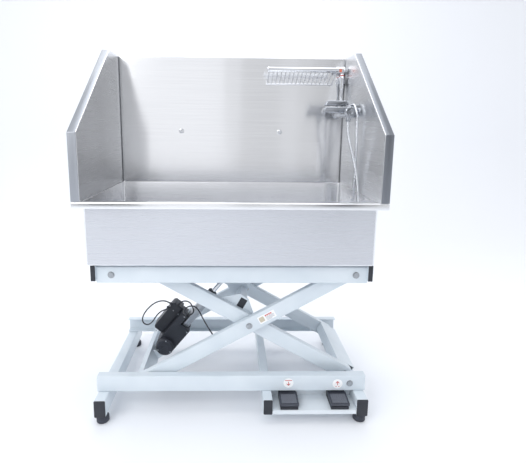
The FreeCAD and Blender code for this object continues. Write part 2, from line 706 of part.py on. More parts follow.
def make_panels():
    inlets = [rod("X", WALL_X - 1, y, MIXER_HIGH, INLET + 1.8, STEEL + 2) for y in (INLET_Y, INLET_Y + INLET_GAP)]
    node("side_panel_left", side_panel(-1, []))
    node("side_panel_right", side_panel(1, inlets))
    top = RIM_Z + PANEL_HIGH
    slab = box(-WALL_X, WALL_X, BACK_Y, RIM_BACK, RIM_Z, top)
    cavity = box(-WALL_X + STEEL, WALL_X - STEEL, BACK_Y + STEEL, RIM_BACK - STEEL,
                 RIM_Z + STEEL, top - STEEL)
    mouth = box(-WALL_X + PANEL_LIP, WALL_X - PANEL_LIP, BACK_Y + STEEL, RIM_BACK + 1,
                RIM_Z + PANEL_LIP, top - PANEL_LIP)
    node("back_panel", cut(slab, cavity, mouth))


def make_drain():
    """A basket strainer that lifts out, and the waste fitting under the floor."""
    basket = [(0, -24), (DRAIN - 5, -24), (DRAIN - 3, -22), (DRAIN - 3, 0), (DRAIN + 12, 0),
              (DRAIN + 12, 1.5), (DRAIN - 5, 2.5), (DRAIN - 5, -22), (0, -22)]
    slots = [rod("Z", DRAIN_X, 0, FLOOR_Z - 25, 3, 4)]
    for i in range(6):
        turn = math.radians(60 * i)
        slots.append(rod("Z", DRAIN_X + 12 * math.cos(turn), 12 * math.sin(turn), FLOOR_Z - 25, 3, 4))
    node("drain_strainer", cut(turned(basket, DRAIN_X, 0, FLOOR_Z), *slots))
    gap = 0.3
    low = -SPIGOT_LONG - 30
    fitting = [(DRAIN, -STEEL - gap), (DRAIN + 14, -STEEL), (DRAIN + 14, -STEEL - 5),
               (DRAIN + 4, -STEEL - 7), (DRAIN + 4, -26), (SPIGOT, -30), (SPIGOT, low),
               (SPIGOT - 3, low), (SPIGOT - 3, -28), (DRAIN, -25)]
    node("waste_outlet", turned(fitting, DRAIN_X, 0, FLOOR_Z))


def make_eyes():
    """Two screw eyes on the back panel, where a tether clips on."""
    eyes = []
    for x in (dim(-281), dim(263)):
        ring = DOC.addObject("Part::Torus", "Ring")
        ring.Placement = FreeCAD.Placement(V(), FreeCAD.Rotation(V(0, 1, 0), 90))
        bind(ring, Radius1=9, Radius2=2.5)
        put(ring, x, BACK_Y - 14, RIM_Z + 284)
        eyes.append(fuse(ring, rod("Y", x, BACK_Y - 7, RIM_Z + 284, 3.5, 7),
                         rod("Y", x, BACK_Y - 2.5, RIM_Z + 284, 11, 2.5)))
    node("tether_eyes", group(*eyes))


# ---------------------------------------------------------------- bottle rack
RACK_WIRES = 17


def make_rack():
    """A tubular front bar, a wall bar, and sloping wires between them."""
    bar_y = BACK_Y - RACK_OUT
    wide = RACK_RIGHT - RACK_LEFT
    bar = rod("X", RACK_LEFT, bar_y, RACK_HIGH, RACK_BAR, wide)
    wall_y = BACK_Y - RACK_RAIL
    wall_z = RACK_HIGH - RACK_DROP
    back = rod("X", RACK_LEFT, wall_y, wall_z, RACK_RAIL, wide)
    rise = RACK_DROP
    run = wall_y - bar_y
    parts = [bar, back]
    for i in range(RACK_WIRES):
        x = RACK_LEFT + RACK_INSET + (wide - RACK_INSET * 2) * i / (RACK_WIRES - 1)
        wire = DOC.addObject("Part::Cylinder", "Wire")
        wire.Placement = FreeCAD.Placement(V(), FreeCAD.Rotation(V(-1, 0, 0), 100))
        bind(wire, Radius=RACK_WIRE, Height=root(rise * rise + run * run))
        bind(wire, Placement__Rotation__Angle=slope_of(rise, run) + Dim("90 deg", 90))
        parts.append(put(wire, x, bar_y, RACK_HIGH))
    pads = [rod("Y", x, BACK_Y - 3, wall_z, 9, 3) for x in (RACK_LEFT + 17, RACK_RIGHT - 17)]
    node("bottle_rack", fuse(*parts, *pads))


# ---------------------------------------------------------------- mixer and hand shower
MIXER_X = WALL_X - MIXER_OFF
MIXER_Y = dim(-45)
MIXER_LONG = dim(240)
INLET_Y = MIXER_Y + 60
SPOUT_Y = MIXER_Y + 65
OUTLET_X = MIXER_X - 8
HUB_Y = SPOUT_Y + 35


def make_mixer():
    """A round body on two wall unions, with a short flat spout and a hose outlet below."""
    body = rod("Y", MIXER_X, MIXER_Y, MIXER_HIGH, MIXER_BODY, MIXER_LONG)
    collars = [rod("Y", MIXER_X, y, MIXER_HIGH, MIXER_BODY + 2, 8) for y in (MIXER_Y - 6, MIXER_Y + MIXER_LONG)]
    unions = []
    for y in (INLET_Y, INLET_Y + INLET_GAP):
        unions.append(rod("X", MIXER_X, y, MIXER_HIGH, 12, MIXER_OFF - 2))
        unions.append(rod("X", WALL_X - 9, y, MIXER_HIGH, 24, 9))
        unions.append(rod("X", WALL_X - 2, y, MIXER_HIGH, INLET + 1.5, STEEL + 4))
        unions.append(rod("X", WALL_X - 2, y, MIXER_HIGH, INLET, 32))
    shroud = box(MIXER_X + MIXER_BODY - 5, WALL_X - 8, INLET_Y + 10, INLET_Y + INLET_GAP + 20,
                 MIXER_HIGH - 24, MIXER_HIGH + 10)
    low = MIXER_HIGH - 2
    spout = [(MIXER_X, low), (MIXER_X - 112, low), (MIXER_X - 106, low + 27), (MIXER_X, low + 27)]
    lips = pad("XZ_Plane", spout, 70, 0, SPOUT_Y)
    outlet = rod("Z", OUTLET_X, MIXER_Y + 2, MIXER_HIGH - 46, 11, 40)
    post = rod("Z", MIXER_X, HUB_Y, MIXER_HIGH + 10, 20, 17)
    node("mixer_body", fuse(body, *collars, *unions, shroud, lips, outlet, post))
    turret = MIXER_HIGH + 27.4
    node("mixer_cap", rod("Z", MIXER_X, HUB_Y, turret, 20, 5))
    low = turret + 5.4
    grip = [(MIXER_X, low), (MIXER_X - 104, low), (MIXER_X - 92, low + 24), (MIXER_X, low + 24)]
    heel = rod("Y", MIXER_X, HUB_Y - 25, low + 12, 12, 50)
    node("mixer_lever", fuse(pad("XZ_Plane", grip, 50, 0, HUB_Y - 25), heel))


SHOWER_X = dim(590)
SHOWER_Y = dim(262)
GRIP_LOW = dim(1500)
HOLD_Z = dim(1566)
HEAD_Z = dim(1624)


def make_shower():
    """The wall holder with its open fork, and the hand shower that hangs in it."""
    wall = box(SHOWER_X - 14, SHOWER_X + 14, BACK_Y - 6, BACK_Y, HOLD_Z - 24, HOLD_Z + 24)
    fork = rod("Z", SHOWER_X, SHOWER_Y, HOLD_Z - 14, 17, 26)
    stalk = box(SHOWER_X - 9, SHOWER_X + 9, SHOWER_Y, BACK_Y - 5, HOLD_Z - 12, HOLD_Z + 10)
    bore = rod("Z", SHOWER_X, SHOWER_Y, HOLD_Z - 15, 12.4, 28)
    mouth = box(SHOWER_X - 8, SHOWER_X + 8, SHOWER_Y - 20, SHOWER_Y, HOLD_Z - 15, HOLD_Z + 13)
    node("shower_holder", cut(fuse(wall, fork, stalk), bore, mouth))
    profile = [(0, GRIP_LOW), (8, GRIP_LOW), (8, GRIP_LOW + 18), (10, GRIP_LOW + 22),
               (12, HOLD_Z - 20), (12, HOLD_Z + 12.4), (15, HOLD_Z + 12.4), (15, HOLD_Z + 20),
               (11, HOLD_Z + 26), (11, HEAD_Z), (0, HEAD_Z)]
    handle = turned(profile, SHOWER_X, SHOWER_Y)
    head = rod("X", SHOWER_X - 32, SHOWER_Y, HEAD_Z, 19, 46)
    face = rod("X", SHOWER_X - 38, SHOWER_Y, HEAD_Z, 16, 10)
    node("hand_shower", fuse(handle, head, face))


# ---------------------------------------------------------------- hose and cables
def smooth_path(points):
    """Straight runs joined by arcs, each arc as large as its two runs allow; prints the radii."""
    spots = [V(*p) for p in points]
    edges = []
    radii = []
    start = spots[0]
    for before, corner, after in zip(spots, spots[1:], spots[2:]):
        back = before - corner
        ahead = after - corner
        shorter = min(back.Length, ahead.Length)
        back.normalize()
        ahead.normalize()
        turn = math.pi - back.getAngle(ahead)
        reach = 0.45 * shorter
        radii.append(reach / math.tan(turn / 2))
        first = corner + back * reach
        last = corner + ahead * reach
        middle = back + ahead
        middle.normalize()
        crown = corner + middle * (radii[-1] / math.cos(turn / 2) - radii[-1])
        edges.append(Part.LineSegment(start, first).toShape())
        edges.append(Part.Arc(first, crown, last).toShape())
        start = last
    edges.append(Part.LineSegment(start, spots[-1]).toShape())
    return Part.Wire(edges), radii


def flexible(label, points, thick):
    """A plain round tube along a cord's route, checked against its section times its length."""
    wire, radii = smooth_path(points)
    first = V(*points[0])
    way = V(*points[1]) - first
    circle = Part.Wire(Part.makeCircle(thick.value / 2, first, way))
    tube = wire.makePipeShell([circle], True, False)
    expected = math.pi * thick.value ** 2 / 4 * wire.Length
    print(f"{label}: length {wire.Length:.0f}, volume ratio {tube.Volume / expected:.4f}, "
          f"radii {[round(r) for r in radii]}")
    if abs(tube.Volume / expected - 1) > 0.01:
        raise RuntimeError(f"{label} is not a sound tube")
    obj = DOC.addObject("Part::Feature", "Flexible")
    obj.Shape = tube
    return node(label, obj)


HOSE_ROUTE = [
    (548, -43, 1346), (548, -43, 1300), (557, -53, 1250), (571, -62, 1195), (584, -71, 1135),
    (594, -80, 1075), (599, -92, 1018), (599, -109, 957), (597, -128, 887), (594, -128, 822),
    (592, -83, 777), (592, -17, 777), (594, 28, 822), (597, 28, 887), (600, -2, 950),
    (600, -24, 1012), (599, -29, 1080), (600, -24, 1150), (599, -29, 1220), (597, -27, 1300),
    (594, -27, 1383), (594, 20, 1430), (595, 75, 1430), (594, 130, 1424), (593, 175, 1419),
    (592, 214, 1418), (591, 244, 1435), (590, 262, 1465), (590, 262, 1500)]
MOTOR_LOOP = [
    (-305.7, 0, 409), (-322.2, 0, 422.1), (-347, -8, 434), (-381, -14, 430), (-414, -20, 409),
    (-438, -24, 381), (-453, -28, 353), (-452, -30, 324), (-428, -30, 310), (-404, -27, 324),
    (-386, -24, 354), (-362, -20, 380), (-336, -16, 389), (-316.9, -14, 394.9)]
PEDAL_LEAD = [
    (-275.6, 0, 404.8), (-261.6, 0, 421.8), (-237, -8, 433), (-212, -18, 430), (-198, -27, 413),
    (-187, -37, 385), (-210, -43, 368), (-233, -47, 383), (-234, -52, 409), (-212, -57, 426),
    (-184, -62, 430), (-160, -72, 410), (-139, -92, 376), (-112, -124, 346), (-85, -160, 324),
    (-66, -190, 316), (-66, -219.4, 316)]


def make_flexible():
    flexible("shower_hose", HOSE_ROUTE, HOSE)
    flexible("motor_cable", MOTOR_LOOP, CABLE)
    flexible("pedal_cable", PEDAL_LEAD, CABLE)


# ---------------------------------------------------------------- build, check, write
def finish():
    DOC.recompute()
    for obj in DOC.Objects:
        bad = {"Invalid", "Error"} & set(obj.State)
        if bad:
            raise RuntimeError(f"{obj.Label} is {bad}")
    os.makedirs("parts", exist_ok=True)
    for obj in NODES:
        shape = obj.Shape
        if shape.isNull() or not shape.isValid() or shape.Volume <= 0:
            raise RuntimeError(f"{obj.Label} has no sound shape")
        shape.exportStep(f"parts/{obj.Label}.step")
        print(f"{obj.Label}: {len(shape.Solids)} solids, {shape.Volume / 1000:.1f} cm3")
    print(f"{len(NODES)} nodes; arm length {ARM_LONG.value:.2f}, hitch {HITCH_X.value:.2f} {HITCH_Z.value:.2f}, "
          f"lever {LEVER_X.value:.2f} {LEVER_Z.value:.2f}, reach {REACH.value:.2f}")


def main():
    DOC.recompute()
    make_base_rails()
    make_cross_tubes()
    make_end_caps()
    make_feet()
    make_lower_pins()
    make_pedal_tray()
    make_pedals()
    make_arms()
    make_arm_pins()
    make_rollers()
    make_outer_cross()
    make_inner_cross()
    make_actuator()
    make_rod()
    make_upper_frame()
    make_tub()
    make_panels()
    make_drain()
    make_eyes()
    make_rack()
    make_mixer()
    make_shower()
    make_flexible()
    finish()


main()
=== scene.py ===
"""Electric-lift dog grooming bath: the finish and fine shape of every piece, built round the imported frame.

Lengths are metres in the part's own frame: +X to the groomer's right, +Y away, +Z up.
"""
import json
import math

import bmesh
import bpy
import numpy as np
from mathutils import Matrix, Vector

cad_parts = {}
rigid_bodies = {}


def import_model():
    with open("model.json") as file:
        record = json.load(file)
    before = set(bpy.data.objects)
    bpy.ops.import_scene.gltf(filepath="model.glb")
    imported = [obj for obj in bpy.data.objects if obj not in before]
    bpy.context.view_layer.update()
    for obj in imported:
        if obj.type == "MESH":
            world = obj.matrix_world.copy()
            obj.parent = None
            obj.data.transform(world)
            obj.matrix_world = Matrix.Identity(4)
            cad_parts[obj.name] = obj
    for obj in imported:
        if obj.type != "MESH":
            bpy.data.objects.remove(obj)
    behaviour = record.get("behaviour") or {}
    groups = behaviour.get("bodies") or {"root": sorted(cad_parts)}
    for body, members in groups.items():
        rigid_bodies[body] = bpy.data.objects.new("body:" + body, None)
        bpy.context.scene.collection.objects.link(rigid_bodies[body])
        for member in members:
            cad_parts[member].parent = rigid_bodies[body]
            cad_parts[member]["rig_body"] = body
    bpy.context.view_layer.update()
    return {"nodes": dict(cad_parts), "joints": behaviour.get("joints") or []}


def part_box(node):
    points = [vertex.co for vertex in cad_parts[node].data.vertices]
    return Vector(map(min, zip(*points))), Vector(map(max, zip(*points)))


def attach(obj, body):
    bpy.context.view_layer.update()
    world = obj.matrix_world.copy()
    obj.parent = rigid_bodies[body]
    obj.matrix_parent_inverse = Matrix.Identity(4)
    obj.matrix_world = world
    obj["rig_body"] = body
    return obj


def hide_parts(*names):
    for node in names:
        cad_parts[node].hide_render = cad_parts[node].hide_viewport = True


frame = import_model()

bl_info = {
    "name": "Grooming Bath",
    "version": (1, 0, 0),
    "blender": (4, 5, 0),
    "location": "View3D > Sidebar > Bath",
    "description": "Builds a lifting stainless grooming bath round its packed frame",
    "category": "Add Mesh",
}

MM = 0.001
X, Y, Z = np.eye(3)


# ---------------------------------------------------------------- settings a user would change
class BathSizes(bpy.types.PropertyGroup):
    """Sizes that only the looks use, in metres."""

    sheet_corner: bpy.props.FloatProperty(
        name="Sheet corner", description="Outside radius of a folded sheet's corner",
        default=0.007, unit="LENGTH")
    sheet_thick: bpy.props.FloatProperty(
        name="Sheet thickness", description="Thickness of the stainless sheet", default=0.0015, unit="LENGTH")
    basin_corner: bpy.props.FloatProperty(
        name="Basin corner", description="Radius of the basin's upright corners", default=0.012, unit="LENGTH")
    tube_corner: bpy.props.FloatProperty(
        name="Tube corner", description="Radius of a box tube's long edges", default=0.005, unit="LENGTH")
    hose_pitch: bpy.props.FloatProperty(
        name="Hose pitch", description="Distance between the turns of the metal hose",
        default=0.0042, unit="LENGTH")
    stud_pitch: bpy.props.FloatProperty(
        name="Stud pitch", description="Distance between the studs of a foot pedal",
        default=0.009, unit="LENGTH")


class BathColours(bpy.types.PropertyGroup):
    """Colours as sRGB hex values."""

    steel: bpy.props.StringProperty(name="Steel", description="Stainless sheet", default="#F0F1F3")
    paint: bpy.props.StringProperty(name="Paint", description="Powder coat on the frame", default="#DAE3EA")
    black: bpy.props.StringProperty(name="Black", description="Moulded black plastic", default="#20232A")
    chrome: bpy.props.StringProperty(name="Chrome", description="Polished chrome plate", default="#DADCE0")
    mark: bpy.props.StringProperty(name="Mark", description="Arrow ink", default="#C4382A")


def sizes():
    return bpy.context.scene.bath_sizes


def colours():
    return bpy.context.scene.bath_colours


# ---------------------------------------------------------------- materials
def linear(code):
    """An sRGB hex value as linear RGBA."""
    value = np.array([int(code[i:i + 2], 16) for i in (1, 3, 5)]) / 255
    value = np.where(value <= 0.04045, value / 12.92, ((value + 0.055) / 1.055) ** 2.4)
    return (*value.tolist(), 1.0)


def add(tree, kind, links=(), **values):
    """Adds one node; values go on its sockets or settings, and links join (socket, output) pairs to it."""
    made = tree.nodes.new(kind)
    for key, value in values.items():
        socket = key.replace("_", " ")
        if hasattr(made, key):
            setattr(made, key, value)
        else:
            made.inputs[socket].default_value = value
    for socket, output in links:
        tree.links.new(output, made.inputs[socket])
    return made


def base_material(name, code, metallic, roughness, **more):
    """A principled surface, and the tree it lives in."""
    material = bpy.data.materials.new(name)
    material.use_nodes = True
    tree = material.node_tree
    shader = tree.nodes["Principled BSDF"]
    shader.inputs["Base Color"].default_value = linear(code)
    shader.inputs["Metallic"].default_value = metallic
    shader.inputs["Roughness"].default_value = roughness
    for key, value in more.items():
        shader.inputs[key.replace("_", " ")].default_value = value
    return material, tree, shader


def grain(tree, scale, stretch, detail=2.0):
    """Noise on Object coordinates, stretched so that one unit of it is scale metres over stretch."""
    where = add(tree, "ShaderNodeTexCoord")
    laid = add(tree, "ShaderNodeMapping", [("Vector", where.outputs["Object"])],
               Scale=tuple(1 / (scale * s) for s in stretch))
    return add(tree, "ShaderNodeTexNoise", [("Vector", laid.outputs["Vector"])], Scale=1.0, Detail=detail)


def span_map(tree, output, low, high):
    """Maps a noise output from its usual 0.3 to 0.7 onto low to high."""
    mapped = add(tree, "ShaderNodeMapRange", [("Value", output)])
    for key, value in (("From Min", 0.3), ("From Max", 0.7), ("To Min", low), ("To Max", high)):
        mapped.inputs[key].default_value = value
    return mapped.outputs["Result"]


def bump(tree, shader, output, depth, strength=1.0):
    made = add(tree, "ShaderNodeBump", [("Height", output)], Strength=strength, Distance=depth)
    tree.links.new(made.outputs["Normal"], shader.inputs["Normal"])


def tint(tree, shader, output, dark, light):
    """Colour that wanders between two near shades."""
    ramp = add(tree, "ShaderNodeValToRGB", [("Fac", output)])
    ramp.color_ramp.elements[0].position = 0.3
    ramp.color_ramp.elements[1].position = 0.7
    ramp.color_ramp.elements[0].color = linear(dark)
    ramp.color_ramp.elements[1].color = linear(light)
    tree.links.new(ramp.outputs["Color"], shader.inputs["Base Color"])


def brushed_stainless(name, along, code, dark, rough):
    """304 stainless, brushed in one direction: long fine scratches spread each highlight across themselves.

    The real grit is about 0.1 mm; it is drawn at 0.9 mm across and 0.4 m long so that it shows. A rolled
    sheet also bows by a few tenths of a millimetre over 150 mm, which draws reflections into tall streaks.
    """
    material, tree, shader = base_material(name, code, 1.0, 0.2)
    along = np.array(along)
    scratch = grain(tree, 0.0009, np.where(along > 0, 400.0, 1.0), 3.0)
    bow = grain(tree, 0.15, np.where(along > 0, 1.0, 12.0), 1.0)
    tree.links.new(span_map(tree, scratch.outputs["Fac"], *rough), shader.inputs["Roughness"])
    tint(tree, shader, scratch.outputs["Fac"], dark, code)
    sheet = add(tree, "ShaderNodeBump", [("Height", bow.outputs["Fac"])], Strength=1.0, Distance=0.0011)
    fine = add(tree, "ShaderNodeBump",
               [("Height", scratch.outputs["Fac"]), ("Normal", sheet.outputs["Normal"])],
               Strength=0.3, Distance=0.00003)
    tree.links.new(fine.outputs["Normal"], shader.inputs["Normal"])
    shader.inputs["Anisotropic"].default_value = 0.75
    shader.inputs["Anisotropic Rotation"].default_value = 0.25
    lay = add(tree, "ShaderNodeTangent", direction_type="RADIAL", axis="Z")
    tree.links.new(lay.outputs["Tangent"], shader.inputs["Tangent"])
    return material


def powder_coat(name, code, dark):
    """Polyester powder coat: a semi-gloss film with faint orange peel, cells about 2.5 mm across."""
    material, tree, shader = base_material(name, code, 0.0, 0.36, Coat_Weight=0.25, Coat_Roughness=0.2)
    peel = grain(tree, 0.0025, (1, 1, 1), 1.5)
    cloud = grain(tree, 0.12, (1, 1, 1), 1.0)
    tint(tree, shader, cloud.outputs["Fac"], dark, code)
    bump(tree, shader, peel.outputs["Fac"], 0.00005, 0.3)
    return material


def moulded_plastic(name, code, light, roughness=0.45, texture=0.0016):
    """ABS from a spark-eroded mould: an even fine texture, a touch lighter on its peaks."""
    material, tree, shader = base_material(name, code, 0.0, roughness)
    fine = grain(tree, texture, (1, 1, 1), 2.0)
    tint(tree, shader, fine.outputs["Fac"], code, light)
    bump(tree, shader, fine.outputs["Fac"], 0.00012, 0.5)
    tree.links.new(span_map(tree, fine.outputs["Fac"], roughness - 0.06, roughness + 0.08),
                   shader.inputs["Roughness"])
    return material


def plated(name, code, low, high):
    """Nickel-chrome plate: mirror smooth, with faint wipe marks about 30 mm long."""
    material, tree, shader = base_material(name, code, 1.0, low)
    smear = grain(tree, 0.03, (1, 1, 0.5), 2.0)
    tree.links.new(span_map(tree, smear.outputs["Fac"], low, high), shader.inputs["Roughness"])
    return material


def zinc_plated(name):
    """Bright zinc on steel: dull, slightly blue, with spangle about 3 mm across."""
    material, tree, shader = base_material(name, "#A9ADB2", 1.0, 0.38)
    spangle = grain(tree, 0.003, (1, 1, 1), 1.0)
    tint(tree, shader, spangle.outputs["Fac"], "#8F9499", "#B9BDC2")
    tree.links.new(span_map(tree, spangle.outputs["Fac"], 0.3, 0.46), shader.inputs["Roughness"])
    return material


def printed_film(name, code):
    """Vinyl sticker film: smooth, with a barely uneven print, blotches about 6 mm across."""
    material, tree, shader = base_material(name, code, 0.0, 0.3)
    blotch = grain(tree, 0.006, (1, 1, 1), 1.0)
    tree.links.new(span_map(tree, blotch.outputs["Fac"], 0.26, 0.36), shader.inputs["Roughness"])
    return material


MATERIALS = {}


def finish_of(name):
    return MATERIALS[name]


# ---------------------------------------------------------------- shapes worked out with numpy
def eased(points, radius, steps=5, closed=True):
    """A line with its corners rounded, and its outward normals (for an anticlockwise outline).

    At a corner the arc starts radius / tan(half angle) along each edge, or half-way if that is nearer,
    and its centre stands radius / sin(half angle) from the corner on the bisector.
    """
    corner = np.asarray(points, float)
    radii = np.broadcast_to(np.asarray(radius, float), (len(corner),))
    out, normal = [], []
    count = len(corner)
    for i in range(count):
        here = corner[i]
        if not closed and i in (0, count - 1):
            out.append(here[None])
            normal.append(np.zeros((1, 2)))
            continue
        back = corner[i - 1] - here
        ahead = corner[(i + 1) % count] - here
        room = 0.499 * min(np.hypot(*back), np.hypot(*ahead))
        back = back / np.hypot(*back)
        ahead = ahead / np.hypot(*ahead)
        half = 0.5 * math.acos(np.clip(back @ ahead, -1, 1))
        turn = np.sign(ahead[0] * back[1] - ahead[1] * back[0]) or 1.0
        r = min(max(radii[i], 1e-6), room * math.tan(half))
        middle = back + ahead
        centre = here + middle / max(np.hypot(*middle), 1e-9) * r / math.sin(half)
        first = here + back * r / math.tan(half) - centre
        last = here + ahead * r / math.tan(half) - centre
        start = math.atan2(first[1], first[0])
        sweep = (math.atan2(last[1], last[0]) - start + math.pi) % (2 * math.pi) - math.pi
        angle = start + sweep * np.linspace(0, 1, steps)
        spoke = np.stack([np.cos(angle), np.sin(angle)], 1)
        out.append(centre + r * spoke)
        normal.append(spoke * turn)
    return np.concatenate(out), np.concatenate(normal)


def oblong(x0, x1, y0, y1):
    """The four corners of a rectangle, anticlockwise."""
    return [(x0, y0), (x1, y0), (x1, y1), (x0, y1)]


def drawn_in(points, radius, amount, steps=5):
    """An anticlockwise outline moved inwards: each corner slides by amount (n1 + n2) / (1 + n1.n2),
    n1 and n2 being its two edges' inward normals, and its rounding shrinks by as much."""
    here = np.asarray(points, float)
    edge = here - np.roll(here, 1, 0)
    edge /= np.hypot(*edge.T)[:, None]
    first = np.stack([-edge[:, 1], edge[:, 0]], 1)
    second = np.roll(first, -1, 0)
    slid = here + amount * (first + second) / (1 + (first * second).sum(1))[:, None]
    radii = np.maximum(np.broadcast_to(np.asarray(radius, float), (len(here),)) - amount, 0.2 * MM)
    return eased(slid, radii, steps)[0]


class Place:
    """Where a flat outline goes: origin + a along p + b along q + depth along d."""

    def __init__(self, p, q, d, origin=(0, 0, 0)):
        self.p, self.q, self.d = (np.asarray(v, float) for v in (p, q, d))
        self.origin = np.asarray(origin, float)

    def at(self, a, b, depth):
        a, b, depth = (np.asarray(v, float)[..., None] for v in (a, b, depth))
        return self.origin + a * self.p + b * self.q + depth * self.d


FRONT = Place(X, Z, Y)
SIDE = Place(Y, Z, X)
PLAN = Place(X, Y, Z)


def tilted(x, z, angle):
    """A frame turned by an angle in the XZ plane, its depth still along +Y."""
    along = np.array([math.cos(angle), 0, math.sin(angle)])
    across = np.array([-math.sin(angle), 0, math.cos(angle)])
    return Place(along, across, Y, (x, 0, z))


def quads(rows, columns, wrap=True):
    """The faces that join each row of a grid to the next."""
    i = np.arange(rows - 1)[:, None] * columns
    j = np.arange(columns if wrap else columns - 1)[None]
    k = (j + 1) % columns
    return np.stack([i + j, i + k, i + columns + k, i + columns + j], -1).reshape(-1, 4)


def piece(name, grids, body, material, replaced=(), smooth=35):
    """One object from a list of (rings, wrap, caps) grids; it rides a body and may stand for CAD nodes."""
    verts, faces, base = [], [], 0
    for rings, wrap, caps in grids:
        rows, columns = rings.shape[:2]
        verts.append(rings.reshape(-1, 3))
        faces += (quads(rows, columns, wrap) + base).tolist()
        if caps:
            faces.append(list(range(base, base + columns))[::-1])
            faces.append(list(range(base + (rows - 1) * columns, base + rows * columns)))
        base += rows * columns
    mesh = bpy.data.meshes.new(name)
    mesh.from_pydata(np.concatenate(verts).tolist(), [], faces)
    work = bmesh.new()
    work.from_mesh(mesh)
    bmesh.ops.remove_doubles(work, verts=work.verts, dist=1e-6)
    bmesh.ops.dissolve_degenerate(work, edges=work.edges, dist=1e-6)
    bmesh.ops.recalc_face_normals(work, faces=work.faces)
    work.to_mesh(mesh)
    work.free()
    return finished(name, mesh, body, material, replaced, smooth)


def finished(name, mesh, body, material, replaced=(), smooth=35):
    obj = bpy.data.objects.new(name, mesh)
    bpy.context.scene.collection.objects.link(obj)
    mesh.shade_smooth()
    mesh.set_sharp_from_angle(angle=math.radians(smooth))
    mesh.materials.append(finish_of(material))
    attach(obj, body)
    if replaced:
        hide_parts(*replaced)
    return obj


def plate(points, radius, start, stop, edge, place, steps=5, arc=4):
    """Rings of a plate with round edges: at depth e(1 - cos t) its outline is drawn in by e(1 - sin t)."""
    t = np.linspace(0, math.pi / 2, arc)
    rows = [(edge * (1 - math.sin(a)), edge * (1 - math.cos(a))) for a in t]
    rows = [(a, start + d) for a, d in rows] + [(a, stop - d) for a, d in rows[::-1]]
    rings = []
    for amount, depth in rows:
        flat = drawn_in(points, radius, amount, steps)
        rings.append(place.at(flat[:, 0], flat[:, 1], np.full(len(flat), depth)))
    return np.stack(rings), True, True


def stroke(a, b, width):
    """A straight mark from one point to another, as four corners anticlockwise."""
    a, b = np.array(a, float), np.array(b, float)
    way = (b - a) / np.hypot(*(b - a))
    side = np.array([-way[1], way[0]]) * width / 2
    return [a - side, b - side, b + side, a + side]


def lathe(profile, radius, place, steps=40, arc=4):
    """Rings of a turned piece: (r, h) points, eased at the corners, go round the depth axis."""
    line, _ = eased(profile, radius, arc, closed=False)
    turn = np.linspace(0, 2 * math.pi, steps, endpoint=False)
    r = line[:, 0][:, None]
    return place.at(r * np.cos(turn), r * np.sin(turn), np.broadcast_to(line[:, 1][:, None],
                    (len(line), steps))), True, False


def hoop(section, place, steps=40):
    """Rings of a turned piece whose closed (r, h) section stays clear of the axis."""
    turn = np.linspace(0, 2 * math.pi, steps + 1)
    r = section[:, 0][None]
    high = np.broadcast_to(section[:, 1][None], (steps + 1, len(section)))
    return place.at(r * np.cos(turn)[:, None], r * np.sin(turn)[:, None], high), True, False


def carried(path, radius, sides=14):
    """Rings of a round tube along a path: each ring stands square to it and is turned as little as can be."""
    way = np.gradient(path, axis=0)
    way /= np.linalg.norm(way, axis=1)[:, None]
    side = np.cross(way[0], Y if abs(way[0][1]) < 0.9 else X)
    sides_out = np.empty_like(path)
    for i, t in enumerate(way):
        side = side - t * (side @ t)
        side = side / np.linalg.norm(side)
        sides_out[i] = side
    up = np.cross(way, sides_out)
    turn = np.linspace(0, 2 * math.pi, sides, endpoint=False)
    r = np.broadcast_to(np.asarray(radius, float), (len(path),))[:, None, None]
    spoke = sides_out[:, None] * np.cos(turn)[None, :, None] + up[:, None] * np.sin(turn)[None, :, None]
    return path[:, None] + spoke * r


def copy_with_soft_edges(node, material, width, name=None, angle=35, body=None, joined=0.00001):
    """A merged copy of a CAD piece with its sharp edges broken by a small round."""
    source = frame["nodes"][node]
    mesh = source.data.copy()
    mesh.materials.clear()
    work = bmesh.new()
    work.from_mesh(mesh)
    bmesh.ops.remove_doubles(work, verts=work.verts, dist=joined)
    bmesh.ops.dissolve_limit(work, angle_limit=math.radians(0.5), verts=work.verts, edges=work.edges)
    work.to_mesh(mesh)
    work.free()
    obj = finished(name or node + "_finish", mesh, body or source["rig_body"], material, (node,))
    soft = obj.modifiers.new("Edge", "BEVEL")
    soft.width = width
    soft.segments = 2
    soft.limit_method = "ANGLE"
    soft.angle_limit = math.radians(angle)
    soft.harden_normals = False
    return obj


def paint(node, material):
    """Gives a CAD piece that keeps its own mesh a finish."""
    data = frame["nodes"][node].data
    data.materials.clear()
    data.materials.append(finish_of(material))


def corners(node):
    low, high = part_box(node)
    return np.array(low), np.array(high)


def middle(node):
    low, high = corners(node)
    return (low + high) / 2


# ---------------------------------------------------------------- stage
# The camera: its shifts are shares of the sensor's width, its place is in metres and its turns in radians.
LENS, SENSOR = 27.13, 36
SHIFT = (0.0405, -0.0721)
EYE = (0.0032, -1.9384, 1.305)
YAW, PITCH, ROLL = 0.0236, -0.16026, 0.01018

# Each lamp: name, place and aim in metres, width in metres, watts.
LAMPS = (("Key", (-2.6, -3.4, 3.6), (0, 0, 0.8), 2.4, 75),
         ("Top", (0.0, 0.4, 4.4), (0, 0, 0.5), 3.2, 70))

# The room light's ramp: how far across it, and how bright it is there.
SKY_STOPS = ((0.0, 0.75), (0.05, 0.16), (0.19, 0.2), (0.22, 1.06), (0.47, 1.1), (0.52, 0.78), (0.6, 0.74),
             (0.64, 0.94), (0.7, 0.7), (0.77, 0.62), (0.83, 0.16), (0.91, 0.16), (0.96, 0.78), (1.0, 0.88))
SKY_REACH = 0.5


